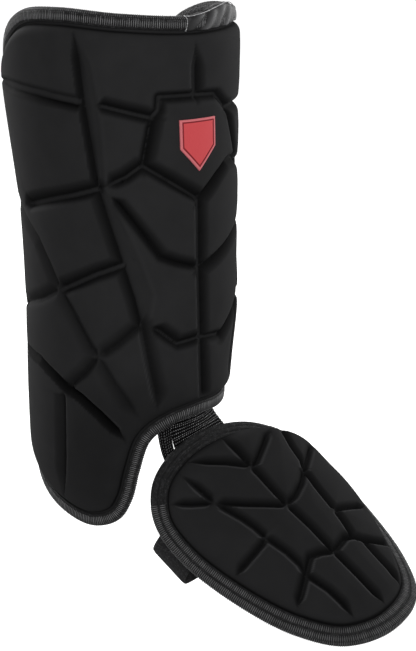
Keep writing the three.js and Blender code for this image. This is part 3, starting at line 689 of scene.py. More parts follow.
class PadShape:
    """The outer skin of a pad: a flat rim, a crease, a round shoulder and crowned panels between grooves."""

    def __init__(self, outline, grooves, rim, shoulder, crown, swell=None, soil=None, highlight_patch=None):
        self.edge = closed_curve(outline, EDGE_STEPS)
        self.grooves = grooves
        self.rim, self.shoulder, self.crown = rim, shoulder, crown
        self.swell, self.soil, self.highlight_patch = swell, soil, highlight_patch

    def inset_of(self, points):
        ends = np.roll(self.edge, -1, axis=0)
        gaps = [to_segments(points[block], self.edge, ends)[0].min(1) for block in in_blocks(len(points))]
        return np.concatenate(gaps)

    def measure(self, points, inset):
        """Lift of the skin at each pattern point, its painted shade and its painted highlight."""
        rise = np.clip((inset - self.rim) / self.shoulder, 0, 1)
        height = np.sqrt(1 - (1 - rise) ** 2)
        depth, clear, painted_shade, painted_highlight = self.grooves.measure(points)
        from_rim = smooth_step(inset, self.rim, self.rim + CROWN_RUN * self.shoulder)
        full = self.crown * (1 - np.exp(-clear / CROWN_REACH)) * from_rim
        tall = -RIM_LIFT + (self.swell(points) if self.swell else 0)
        reach = smooth_step(inset, self.rim + GROOVES_FROM, self.rim + GROOVES_FULL)
        lift = np.maximum(RIM_LIFT + tall * height + full - depth * reach, DEEPEST_LIFT)
        # Painted shade: a dark band in colour along the crease beside the rim.
        crease = CREASE_SHADE * np.exp(-(((inset - self.rim - CREASE_PLACE) / CREASE_WIDTH) ** 2))
        shade_share = 1 - (1 - painted_shade * reach) * (1 - crease)
        # Painted shade darkens the colour round the notch as well.
        if self.soil:
            shade_share = 1 - (1 - shade_share) * (1 - self.soil(points))
        highlight = painted_highlight * reach
        # A painted highlight lightens the colour along the heel edge.
        if self.highlight_patch:
            highlight = np.maximum(highlight, self.highlight_patch(points))
        return lift, shade_share, highlight


# Steps along a line that grid points settle on, and the furthest that a point moves to it
LINE_STEP = 0.25
LINE_REACH = 1.2


def settle_on_lines(lines, grid, columns):
    """Moves the grid points that are nearest to each line onto it, so that a crease doesn't step from cell to
    cell. Gives the moved points, and for each the number of its line or -1."""
    tree = KDTree(len(grid))
    for number, (x, y) in enumerate(grid):
        tree.insert((x, y, 0), number)
    tree.balance()
    rows = len(grid) // columns
    moved, owner = grid.copy(), np.full(len(grid), -1)
    for line_number, line in enumerate(lines):
        travel = lengths_along(line)
        chain = []
        for x, y in spaced(line, max(2, int(travel[-1] / LINE_STEP))):
            _, number, reach = tree.find((x, y, 0))
            if reach > LINE_REACH:
                continue
            if chain and chain[-1][0] == number:
                chain[-1][1].append((x, y))
            else:
                chain.append((number, [(x, y)]))
        k = 1
        while k < len(chain) - 1:
            row_step = abs(chain[k - 1][0] // columns - chain[k + 1][0] // columns)
            column_step = abs(chain[k - 1][0] % columns - chain[k + 1][0] % columns)
            if row_step == 1 and column_step == 1:
                del chain[k]
            else:
                k += 1
        for number, places in chain:
            inside = 0 < number // columns < rows - 1 and 0 < number % columns < columns - 1
            if inside:
                moved[number] = np.mean(places, axis=0)
                owner[number] = line_number
    return moved, owner


def split_along_lines(quads, owner):
    """Halves each quad whose diagonal lies on a crease, so that the crease stays one clean edge."""
    faces = []
    for a, b, c, d in quads.tolist():
        if owner[a] >= 0 and owner[a] == owner[c] and owner[b] != owner[a] and owner[d] != owner[a]:
            faces += [[a, b, c], [a, c, d]]
        elif owner[b] >= 0 and owner[b] == owner[d] and owner[a] != owner[b] and owner[c] != owner[b]:
            faces += [[a, b, d], [b, c, d]]
        else:
            faces.append([a, b, c, d])
    return faces


def link(obj):
    bpy.context.scene.collection.objects.link(obj)
    return obj


def mesh_piece(name, points, faces, materials, finish=None, uv=None, values=None):
    """A smooth mesh object from points in millimetres. finish gives each face's material number, uv a place
    in millimetres for each face corner, and values named numbers for each point."""
    mesh = bpy.data.meshes.new(name)
    mesh.from_pydata((np.asarray(points) * MM).tolist(), [], [list(map(int, face)) for face in faces])
    for material in materials:
        mesh.materials.append(material)
    mesh.polygons.foreach_set("use_smooth", np.ones(len(mesh.polygons), bool))
    if finish is not None:
        mesh.polygons.foreach_set("material_index", np.asarray(finish, np.int32))
    if uv is not None:
        layer = mesh.uv_layers.new(name="cloth")
        layer.data.foreach_set("uv", np.asarray(uv, np.float32).ravel())
    for value_name, numbers in (values or {}).items():
        attribute = mesh.attributes.new(value_name, "FLOAT", "POINT")
        attribute.data.foreach_set("value", np.asarray(numbers, np.float32))
    mesh.update()
    return link(bpy.data.objects.new(name, mesh))


def place(piece, slot, *nodes):
    """Gives a finished piece its body and hides the parts of model.glb that it stands for. The slot is not
    used.
    """
    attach(piece, "root")
    if nodes:
        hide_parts(*nodes)
    return piece


# Shader effects that several finishes share

def new_group(name, inputs, outputs):
    group = bpy.data.node_groups.new(name, "ShaderNodeTree")
    for socket_name, kind, value in inputs:
        socket = group.interface.new_socket(socket_name, in_out="INPUT", socket_type=kind)
        if value is not None:
            socket.default_value = value
    for socket_name, kind in outputs:
        group.interface.new_socket(socket_name, in_out="OUTPUT", socket_type=kind)
    return group, group.nodes.new("NodeGroupInput"), group.nodes.new("NodeGroupOutput")


def add_node(tree, kind, settings=None, **sockets):
    """A node with its properties set; sockets are named with _ for a space, and take a value or a link."""
    node = tree.nodes.new(kind)
    for key, value in (settings or {}).items():
        setattr(node, key, value)
    for key, value in sockets.items():
        socket = node.inputs[int(key[1:])] if key[1:].isdigit() else node.inputs[key.replace("_", " ")]
        if isinstance(value, bpy.types.NodeSocket):
            tree.links.new(value, socket)
        else:
            socket.default_value = value
    return node


def math_node(tree, operation, first, second=0.0, third=0.0):
    node = add_node(tree, "ShaderNodeMath", {"operation": operation}, i0=first, i1=second, i2=third)
    return node.outputs[0]


GRAIN_HEIGHT = 0.35


def foam_grain_group():
    """Fine leathery grain with a soft slow waviness, from a place in metres."""
    group, given, made = new_group(
        "foam_grain",
        [("Place", "NodeSocketVector", None), ("Grain Size", "NodeSocketFloat", 0.0006),
         ("Wave Size", "NodeSocketFloat", 0.02)],
        [("Height", "NodeSocketFloat"), ("Tone", "NodeSocketFloat")],
    )
    grain_scale = math_node(group, "DIVIDE", 1.0, given.outputs["Grain Size"])
    wave_scale = math_node(group, "DIVIDE", 1.0, given.outputs["Wave Size"])
    noise = "ShaderNodeTexNoise"
    at = given.outputs["Place"]
    grain = add_node(group, noise, Vector=at, Scale=grain_scale, Detail=3.0, Roughness=0.6)
    wave = add_node(group, noise, Vector=at, Scale=wave_scale, Detail=2.0, Roughness=0.5)
    height = math_node(group, "MULTIPLY_ADD", grain.outputs[0], GRAIN_HEIGHT, wave.outputs[0])
    group.links.new(height, made.inputs["Height"])
    group.links.new(wave.outputs[0], made.inputs["Tone"])
    return group


# Height of the yarns and of the rows of a weave about its middle, the shift of each row in yarns, and how few
# of the yarn tips are light
YARN_HEIGHT = 0.3
ROW_HEIGHT = 0.2
WEAVE_MIDDLE = 0.5
ROW_SHIFT = 0.5
FLECK_POWER = 3.0


def weave_group():
    """Crossed yarns of a woven band, from a place in millimetres: height of the yarns, and light tips."""
    group, given, made = new_group(
        "woven_yarns",
        [("Place", "NodeSocketVector", None), ("Yarn Pitch", "NodeSocketFloat", 1.2),
         ("Row Pitch", "NodeSocketFloat", 1.0)],
        [("Height", "NodeSocketFloat"), ("Fleck", "NodeSocketFloat")],
    )
    parts = add_node(group, "ShaderNodeSeparateXYZ", Vector=given.outputs["Place"])
    turn = 2 * math.pi
    along = math_node(group, "DIVIDE", parts.outputs[0], given.outputs["Yarn Pitch"])
    across = math_node(group, "DIVIDE", parts.outputs[1], given.outputs["Row Pitch"])
    row = math_node(group, "FLOOR", across)
    shifted = math_node(group, "MULTIPLY_ADD", row, ROW_SHIFT, along)
    yarn = math_node(group, "SINE", math_node(group, "MULTIPLY", shifted, turn))
    rows = math_node(group, "SINE", math_node(group, "MULTIPLY", across, turn))
    bumps = math_node(group, "MULTIPLY_ADD", yarn, YARN_HEIGHT, WEAVE_MIDDLE)
    height = math_node(group, "MULTIPLY_ADD", rows, ROW_HEIGHT, bumps)
    cell = add_node(group, "ShaderNodeCombineXYZ", X=math_node(group, "FLOOR", shifted), Y=row)
    chance = add_node(group, "ShaderNodeTexWhiteNoise", {"noise_dimensions": "2D"}, Vector=cell.outputs[0])
    light = math_node(group, "POWER", chance.outputs[0], FLECK_POWER)
    fleck = math_node(group, "MULTIPLY", light, height)
    group.links.new(height, made.inputs["Height"])
    group.links.new(fleck, made.inputs["Fleck"])
    return group


FOAM_GRAIN = foam_grain_group()
WEAVE = weave_group()


def new_finish(name, roughness, specular):
    material = bpy.data.materials.new(name)
    material.use_nodes = True
    tree = material.node_tree
    shader = tree.nodes["Principled BSDF"]
    shader.inputs["Roughness"].default_value = roughness
    shader.inputs["Specular IOR Level"].default_value = specular
    return material, tree, shader


def use_group(tree, group, **sockets):
    return add_node(tree, "ShaderNodeGroup", {"node_tree": group}, **sockets)


def grain_over(tree, grain_size, wave_size):
    """The foam grain over a piece, by the place of each point of it."""
    at = add_node(tree, "ShaderNodeTexCoord").outputs["Object"]
    return use_group(tree, FOAM_GRAIN, Place=at, Grain_Size=grain_size, Wave_Size=wave_size)


def mix_colours(tree, share, first, second):
    """A mix of two colours by a share, the first of them a value or a link."""
    node = add_node(tree, "ShaderNodeMix", {"data_type": "RGBA"})
    colours = [socket for socket in node.inputs if socket.type == "RGBA"]
    if isinstance(first, bpy.types.NodeSocket):
        tree.links.new(first, colours[0])
    else:
        colours[0].default_value = (*first, 1)
    colours[1].default_value = (*second, 1)
    tree.links.new(share, node.inputs[0])
    return next(socket for socket in node.outputs if socket.type == "RGBA")


def bump(tree, shader, height, strength, distance):
    node = add_node(tree, "ShaderNodeBump", Height=height, Strength=strength, Distance=distance)
    tree.links.new(node.outputs[0], shader.inputs["Normal"])


# How far the slow waviness of the skin changes its tone and its roughness, and the least of each
SKIN_TONE = (0.35, 0.75)
SKIN_ROUGHNESS = (0.14, 0.78)
# The skin's greys lean a little to blue, the deep ones more
DEEP_TINT = 1.05
PLAIN_TINT = 1.03


def foam_skin(name, deep, unshaded, highlight):
    """Matt foam skin with a fine grain and uneven tone, painted shade in the groove sides and creases, and
    painted highlights on the groove lips and the heel edge.
    """
    material, tree, shader = new_finish(name, roughness=0.85, specular=0.05)
    grain = grain_over(tree, grain_size=0.0007, wave_size=0.016)
    # This attribute darkens the colour towards the deep grey: painted shade in the groove sides and creases.
    painted_shade = add_node(tree, "ShaderNodeAttribute", {"attribute_name": "painted_shade"})
    painted_highlight = add_node(tree, "ShaderNodeAttribute", {"attribute_name": "painted_highlight"})
    free = math_node(tree, "MULTIPLY_ADD", painted_shade.outputs["Fac"], -1.0, 1.0)
    even = math_node(tree, "MULTIPLY_ADD", grain.outputs["Tone"], *SKIN_TONE)
    share = math_node(tree, "MULTIPLY", free, even)
    base = mix_colours(tree, share, (deep, deep, deep * DEEP_TINT), (unshaded, unshaded, unshaded * PLAIN_TINT))
    # Lightens the colour towards the pale grey: painted highlight on the groove lips and the heel edge.
    highlighted = mix_colours(tree, painted_highlight.outputs["Fac"], base, (highlight, highlight, highlight * PLAIN_TINT))
    tree.links.new(highlighted, shader.inputs["Base Color"])
    rough = math_node(tree, "MULTIPLY_ADD", grain.outputs["Tone"], *SKIN_ROUGHNESS)
    tree.links.new(rough, shader.inputs["Roughness"])
    bump(tree, shader, grain.outputs["Height"], strength=0.2, distance=0.0004)
    return material


def woven_finish(name, dark, light, yarn_pitch, row_pitch, strength, specular=0.3, roughness=0.75):
    """Woven or knitted cloth with light flecks; the pitches are in millimetres."""
    material, tree, shader = new_finish(name, roughness, specular)
    cloth = add_node(tree, "ShaderNodeUVMap", {"uv_map": "cloth"})
    weave = use_group(tree, WEAVE, Place=cloth.outputs[0], Yarn_Pitch=yarn_pitch, Row_Pitch=row_pitch)
    tree.links.new(mix_colours(tree, weave.outputs["Fleck"], dark, light), shader.inputs["Base Color"])
    bump(tree, shader, weave.outputs["Height"], strength, distance=0.0005)
    return material


# How few of the ribs come near their light tone
TONE_POWER = 1.5


def rib_finish(name, dark, light):
    """Ribs, stitches and folds, each with its own tone; on the folds that tone is painted shade and light."""
    material, tree, shader = new_finish(name, roughness=0.6, specular=0.4)
    tone = add_node(tree, "ShaderNodeAttribute", {"attribute_name": "tone"})
    share = math_node(tree, "POWER", tone.outputs["Fac"], TONE_POWER)
    tree.links.new(mix_colours(tree, share, dark, light), shader.inputs["Base Color"])
    grain = grain_over(tree, grain_size=0.0003, wave_size=0.004)
    bump(tree, shader, grain.outputs["Height"], strength=0.3, distance=0.0002)
    return material


BADGE_EDGE_RED = (0.78, 0.2, 0.22)
BADGE_EDGE_INNER_RED = (0.76, 0.19, 0.21)
BADGE_LINE_RED = (0.26, 0.014, 0.022)
BADGE_FIELD_RED = (0.74, 0.085, 0.095)


def badge_finish():
    """A red flocked field inside a paler edge, parted by a thin dark line, by the distance from the rim."""
    material, tree, shader = new_finish("badge_red_flock", roughness=0.7, specular=0.3)
    rim = add_node(tree, "ShaderNodeAttribute", {"attribute_name": "rim"})
    ramp = add_node(tree, "ShaderNodeValToRGB", Fac=rim.outputs["Fac"])
    stops = [
        (0.0, BADGE_EDGE_RED), (0.24, BADGE_EDGE_INNER_RED), (0.28, BADGE_LINE_RED),
        (0.42, BADGE_LINE_RED), (0.46, BADGE_FIELD_RED), (1.0, BADGE_FIELD_RED),
    ]
    while len(ramp.color_ramp.elements) < len(stops):
        ramp.color_ramp.elements.new(0.5)
    for element, (position, colour) in zip(ramp.color_ramp.elements, stops):
        element.position = position
        element.color = (*colour, 1)
    tree.links.new(ramp.outputs[0], shader.inputs["Base Color"])
    grain = grain_over(tree, grain_size=0.0005, wave_size=0.004)
    bump(tree, shader, grain.outputs["Height"], strength=0.5, distance=0.0004)
    return material


# The finishes: a dark and a light colour, and for a weave its two pitches and how far it stands out
SHIN_SKIN = foam_skin("shin_foam_skin", deep=0.0020, unshaded=0.0270, highlight=0.036)
FOOT_SKIN = foam_skin("foot_foam_skin", deep=0.0027, unshaded=0.0230, highlight=0.055)
TAPE = woven_finish("edge_tape_weave", (0.009, 0.009, 0.0095), (0.05, 0.05, 0.052), 1.5, 1.1, 0.7)
LAP = rib_finish("tape_lap_weave", (0.008, 0.008, 0.0085), (0.13, 0.13, 0.133))
SHIN_RIB = rib_finish("shin_tape_rib", (0.13, 0.13, 0.132), (0.2, 0.2, 0.204))
# A darker copy of the shin tape's ribs: painted shade that tones down the light on the foot's tape.
SHADED_FOOT_RIB = rib_finish("foot_tape_rib_shaded", (0.11, 0.11, 0.112), (0.165, 0.165, 0.168))
ELASTIC = woven_finish(
    "elastic_weave", (0.002, 0.002, 0.0022), (0.008, 0.008, 0.0084), 1.4, 2.0, 0.8, specular=0.04,
)
ELASTIC_RIB = rib_finish("elastic_rib", (0.16, 0.16, 0.164), (0.4, 0.4, 0.405))
WEBBING = woven_finish("strap_webbing_weave", (0.012, 0.012, 0.013), (0.07, 0.07, 0.073), 1.3, 0.9, 0.8)
LINING = woven_finish(
    "soft_knit_lining", (0.02, 0.02, 0.022), (0.12, 0.12, 0.125), 1.6, 1.1, 0.6, specular=0.2, roughness=0.9,
)
THREAD = rib_finish("pale_thread", (0.4, 0.4, 0.41), (0.75, 0.75, 0.76))
BADGE = badge_finish()


# Rows of small ribs, beads or stitches along a line, whose sizes vary a little
LEAST_RIB = 0.94
LARGEST_RIB = 1.06


def rib_row_tree():
    """Nodes that set a rounded rib every Pitch along each guide line, standing on its out direction."""
    tree = bpy.data.node_groups.new("rib_row", "GeometryNodeTree")
    face = tree.interface
    sockets = {}
    face.new_socket("Guide", in_out="INPUT", socket_type="NodeSocketGeometry")
    for name, value in (("Pitch", 0.0015), ("Length", 0.001), ("Width", 0.002), ("Height", 0.0006)):
        sockets[name] = face.new_socket(name, in_out="INPUT", socket_type="NodeSocketFloat")
        sockets[name].default_value = value
    sockets["Seed"] = face.new_socket("Seed", in_out="INPUT", socket_type="NodeSocketInt")
    sockets["Finish"] = face.new_socket("Finish", in_out="INPUT", socket_type="NodeSocketMaterial")
    face.new_socket("Ribs", in_out="OUTPUT", socket_type="NodeSocketGeometry")
    given, made = tree.nodes.new("NodeGroupInput"), tree.nodes.new("NodeGroupOutput")
    line = add_node(tree, "GeometryNodeMeshToCurve", Mesh=given.outputs["Guide"])
    even = add_node(
        tree, "GeometryNodeResampleCurve", {"mode": "LENGTH"},
        Curve=line.outputs[0], Length=given.outputs["Pitch"],
    )
    out = add_node(tree, "GeometryNodeInputNamedAttribute", {"data_type": "FLOAT_VECTOR"}, Name="out")
    tangent = tree.nodes.new("GeometryNodeInputTangent")
    turn = add_node(
        tree, "FunctionNodeAxesToRotation", {"primary_axis": "Z", "secondary_axis": "X"},
        i0=out.outputs[0], i1=tangent.outputs[0],
    )
    ball = add_node(tree, "GeometryNodeMeshUVSphere", Segments=6, Rings=3, Radius=0.5)
    size = add_node(
        tree, "ShaderNodeCombineXYZ",
        X=given.outputs["Length"], Y=given.outputs["Width"], Z=given.outputs["Height"],
    )
    rib = add_node(tree, "GeometryNodeTransform", Geometry=ball.outputs[0], Scale=size.outputs[0])
    smooth = add_node(tree, "GeometryNodeSetShadeSmooth", Geometry=rib.outputs[0])
    vary = add_node(tree, "FunctionNodeRandomValue", {"data_type": "FLOAT"}, Seed=given.outputs["Seed"])
    vary.inputs[2].default_value = LEAST_RIB
    vary.inputs[3].default_value = LARGEST_RIB
    ribs = add_node(
        tree, "GeometryNodeInstanceOnPoints",
        Points=even.outputs[0], Instance=smooth.outputs[0], Rotation=turn.outputs[0], Scale=vary.outputs[1],
    )
    chance = add_node(tree, "FunctionNodeRandomValue", {"data_type": "FLOAT"}, Seed=given.outputs["Seed"])
    toned = add_node(
        tree, "GeometryNodeStoreNamedAttribute", {"data_type": "FLOAT", "domain": "INSTANCE"},
        Geometry=ribs.outputs[0], Name="tone", Value=chance.outputs[1],
    )
    real = add_node(tree, "GeometryNodeRealizeInstances", Geometry=toned.outputs[0])
    finished = add_node(
        tree, "GeometryNodeSetMaterial", Geometry=real.outputs[0], Material=given.outputs["Finish"],
    )
    tree.links.new(finished.outputs[0], made.inputs[0])
    return tree, {name: socket.identifier for name, socket in sockets.items()}


RIB_TREE, RIB_INPUTS = rib_row_tree()


def rib_rows(name, lines, outs, closed, sizes, seed, finish):
    """One mesh of ribs along guide lines in millimetres; sizes are pitch, length, width and height."""
    points = np.vstack(lines) * MM
    edges, first = [], 0
    for line in lines:
        count = len(line)
        numbers = first + np.arange(count)
        edges += [(int(a), int(b)) for a, b in zip(numbers[:-1], numbers[1:])]
        if closed:
            edges.append((int(numbers[-1]), int(numbers[0])))
        first += count
    mesh = bpy.data.meshes.new(name)
    mesh.from_pydata(points.tolist(), edges, [])
    out = mesh.attributes.new("out", "FLOAT_VECTOR", "POINT")
    out.data.foreach_set("vector", np.vstack(outs).astype(np.float32).ravel())
    guide = link(bpy.data.objects.new(name, mesh))
    ribs = guide.modifiers.new("ribs", "NODES")
    ribs.node_group = RIB_TREE
    for input_name, value in zip(("Pitch", "Length", "Width", "Height"), sizes):
        ribs[RIB_INPUTS[input_name]] = value * MM
    ribs[RIB_INPUTS["Seed"]] = seed
    ribs[RIB_INPUTS["Finish"]] = finish
    shown = bpy.data.meshes.new_from_object(guide.evaluated_get(bpy.context.evaluated_depsgraph_get()))
    guide.modifiers.clear()
    guide.data = shown
    shown.name = name
    return guide


# The pads, whose plain inner faces have cells this many times as wide as the skin's, from this far in
INNER_STEP = 4
INNER_INSET = 3.0


def moulded_pad(name, pad, cells, shape, rings, materials):
    """A closed pad: a dense outer skin with its rim, crease and grooves, a wall at the edge and a plain inner
    face."""
    wide, tall = cells
    loop, into = pad.edge(cells)
    ring_points = [loop + inset * into for inset in rings]
    core = filled(ring_points[-1], wide, tall).reshape(-1, 2)
    core, owner = settle_on_lines(shape.grooves.feet, core, wide + 1)
    pattern = np.vstack([*ring_points[:-1], core])
    inset = np.concatenate([np.full(len(loop), value) for value in rings[:-1]] + [shape.inset_of(core)])
    lift, painted_shade, painted_highlight = shape.measure(pattern, inset)
    count = len(loop)
    core_first = count * (len(rings) - 1)
    numbers = [np.arange(count) + k * count for k in range(len(rings) - 1)]
    numbers.append(core_first + edge_numbers(wide, tall))
    faces = []
    for k in range(len(rings) - 1):
        faces += loop_faces(numbers[k], numbers[k + 1]).tolist()
    core_faces = split_along_lines(grid_faces(wide, tall), owner)
    faces += [[core_first + number for number in face] for face in core_faces]
    outer = pad.surface(pattern, lift)
    skin_faces = len(faces)

    few_wide, few_tall = wide // INNER_STEP, tall // INNER_STEP
    wall = pad.surface(loop, np.full(count, INNER_LIFT))
    few = filled((loop + INNER_INSET * into)[::INNER_STEP], few_wide, few_tall).reshape(-1, 2)
    under = pad.surface(few, np.full(len(few), INNER_LIFT))
    wall_first = len(outer)
    under_first = wall_first + count
    wall_numbers = wall_first + np.arange(count)
    faces += loop_faces(wall_numbers, numbers[0]).tolist()
    few_edge = under_first + edge_numbers(few_wide, few_tall)
    for k in range(len(few_edge)):
        after = (k + 1) % len(few_edge)
        run = [int(wall_numbers[(k * INNER_STEP + j) % count]) for j in range(INNER_STEP + 1)]
        faces.append([int(few_edge[k]), int(few_edge[after]), *run[::-1]])
    faces += (under_first + grid_faces(few_wide, few_tall))[:, ::-1].tolist()
    finish = np.zeros(len(faces), int)
    finish[skin_faces + count:] = len(materials) - 1
    points = np.vstack([outer, wall, under])
    flat = np.vstack([pattern, loop, few])
    uv = np.vstack([flat[face] for face in faces])
    plain = np.zeros(count + len(few))
    values = {"painted_shade": np.concatenate([painted_shade, plain]), "painted_highlight": np.concatenate([painted_highlight, plain])}
    return mesh_piece(name, points, faces, materials, finish, uv, values)


# Painted shade round the notch: its strength, and where it starts to thin out and ends, from the notch's
# centre
NOTCH_CENTRE = (-44, -34)
NOTCH_SHADE = 0.36
NOTCH_SHADE_REACH = (32, 78)
# A painted highlight along the heel: its strength, its place and width along the pad, and where it comes and
# goes to the side
HEEL_HIGHLIGHT = 0.75
HEEL_HIGHLIGHT_ALONG = 12
HEEL_HIGHLIGHT_WIDTH = 7
HEEL_HIGHLIGHT_COMES = (2, 16)
HEEL_HIGHLIGHT_GOES = (30, 46)
# Swells of the foot pad: their height, where they come to the side, and where they go along the pad
OUTER_SWELL = (2.5, (-20, 40), (90, 150))
HEEL_SWELL = (5.0, (-12, 12), (25, 70))


def notch_soil(points):
    """Painted shade that darkens the shin pad round the notch over the instep."""
    away = np.hypot(points[:, 0] - NOTCH_CENTRE[0], points[:, 1] - NOTCH_CENTRE[1])
    return NOTCH_SHADE * (1 - smooth_step(away, *NOTCH_SHADE_REACH))


def heel_highlight(points):
    """A painted highlight that lightens the foot pad along its heel edge."""
    along, side = points[:, 0], points[:, 1]
    line = np.exp(-(((along - HEEL_HIGHLIGHT_ALONG) / HEEL_HIGHLIGHT_WIDTH) ** 2))
    return HEEL_HIGHLIGHT * line * smooth_step(side, *HEEL_HIGHLIGHT_COMES) * (1 - smooth_step(side, *HEEL_HIGHLIGHT_GOES))


def instep_swell(points):
    """The foot pad stands higher on its heel and outer side."""
    along, side = points[:, 0], points[:, 1]
    return sum(
        tall * smooth_step(side, *comes) * (1 - smooth_step(along, *goes))
        for tall, comes, goes in (OUTER_SWELL, HEEL_SWELL)
    )


SHIN_SHAPE = PadShape(
    SHIN_OUTLINE, GrooveMap(SHIN_JUNCTIONS, SHIN_FADES, SHIN_GROOVES), rim=9.4, shoulder=7.0, crown=0.8,
    soil=notch_soil,
)
FOOT_SHAPE = PadShape(
    FOOT_OUTLINE, GrooveMap(FOOT_JUNCTIONS, FOOT_FADES, FOOT_GROOVES), rim=11.2, shoulder=6.0, crown=1.5,
    swell=instep_swell, highlight_patch=heel_highlight,
)
# Mesh cells along the sides of each skin, and the insets of its rings, which are close together at the crease
SHIN_CELLS = (288, 264)
FOOT_CELLS = (172, 140)
SHIN_RINGS = [0, 2.5, 5, 7, 8.4, 9.0, 9.4, 9.6, 9.9, 10.4, 11.1, 12.0]
FOOT_RINGS = [0, 3, 6, 9, 10.4, 10.9, 11.2, 11.4, 11.7, 12.2, 12.9, 13.8]

shin_pad = moulded_pad("shin_pad_foam", SHIN, SHIN_CELLS, SHIN_SHAPE, SHIN_RINGS, [SHIN_SKIN])
place(shin_pad, "moulded_skin", "shin_pad")
foot_pad = moulded_pad("foot_pad_foam", FOOT, FOOT_CELLS, FOOT_SHAPE, FOOT_RINGS, [FOOT_SKIN, LINING])
place(foot_pad, "moulded_skin", "foot_pad")


# The edge tapes

def edge_tape(name, pad, cells, section, material):
    """A woven tape folded over a pad's edge, from its rounded cross section."""
    loop, into = pad.edge(cells)
    profile = closed_curve(section, TAPE_SECTION_STEPS)
    count, corners_round = len(loop), len(profile)
    lines = [pad.surface(loop + inset * into, np.full(count, lift)) for inset, lift in profile]
    points = np.stack(lines, 1)
    along = lengths_along(np.vstack([loop, loop[:1]]))
    round_it = lengths_along(np.vstack([profile, profile[:1]]))
    numbers = np.arange(count * corners_round).reshape(count, corners_round)
    faces, uv = [], []
    for k in range(count):
        after = (k + 1) % count
        for j in range(corners_round):
            beside = (j + 1) % corners_round
            faces.append([numbers[k, j], numbers[after, j], numbers[after, beside], numbers[k, beside]])
            uv += [
                (along[k], round_it[j]), (along[k + 1], round_it[j]),
                (along[k + 1], round_it[j + 1]), (along[k], round_it[j + 1]),
            ]
    return mesh_piece(name, points.reshape(-1, 3), faces, [material], uv=uv)


def tape_lines(pad, cells, rows, start):
    """Guide lines for ribs on a tape, and their outward directions; rows give the inset, lift and lean of the
    ribs. Where start is given, the lines leave out the end of the pad before it."""
    loop, into = pad.edge(cells)
    if start is not None:
        ribbed = loop[:, 0] > start
        loop, into = loop[ribbed], into[ribbed]
    lines, outs = [], []
    for inset, lift, lean in rows:
        here = pad.surface(loop + inset * into, np.full(len(loop), lift))
        above = pad.surface(loop + (inset - math.sin(lean)) * into, np.full(len(loop), lift + math.cos(lean)))
        out = above - here
        lines.append(here)
        outs.append(out / np.linalg.norm(out, axis=1)[:, None])
    return lines, outs


TAPES = [
    ("shin_binding_tape", SHIN, SHIN_TAPE_CELLS, SHIN_TAPE_SECTION, "shin_binding"),
    ("foot_binding_tape", FOOT, FOOT_TAPE_CELLS, FOOT_TAPE_SECTION, "foot_binding"),
]
for tape_name, pad, cells, section, node in TAPES:
    place(edge_tape(tape_name, pad, cells, section, TAPE), "binding_tape", node)

# Ribs on the tapes: the pad, the tape's cells, the inset, lift and lean of each row, where the rows start if
# they don't go all round, then a rib's pitch, length, width and height, the seed and the finish
TAPE_RIBS = [
    ("shin_binding_ribs", SHIN, SHIN_TAPE_CELLS, [(2.9, -4.2, 0.06)],
     None, (1.45, 0.7, 7.4, 0.9), 3, SHIN_RIB),
    ("shin_binding_edge_ribs", SHIN, SHIN_TAPE_CELLS, [(-1.4, -6.4, 1.2), (2.6, -11.9, math.pi)],
     None, (1.45, 0.7, 5.4, 0.9), 4, SHIN_RIB),
    ("foot_binding_ribs", FOOT, FOOT_TAPE_CELLS, [(7.0, -3.9, 0.0), (1.4, -3.8, 0.05), (-1.9, -6.0, 1.2)],
     FOOT_RIBS_FROM, (1.45, 0.7, 5.6, 0.8), 5, SHADED_FOOT_RIB),
]
for row_name, pad, cells, rows, start, sizes, seed, finish in TAPE_RIBS:
    lines, outs = tape_lines(pad, cells, rows, start)
    place(rib_rows(row_name, lines, outs, start is None, sizes, seed, finish), "binding_tape")


def overlap_fold(across, inset):
    """How far the folded tape stands up in slanting folds that come in groups, from -1 to 1."""
    return np.sin(across / FOLD_LENGTH + FOLD_SLANT * inset) * np.sin(across / FOLD_GROUP + FOLD_SHIFT)


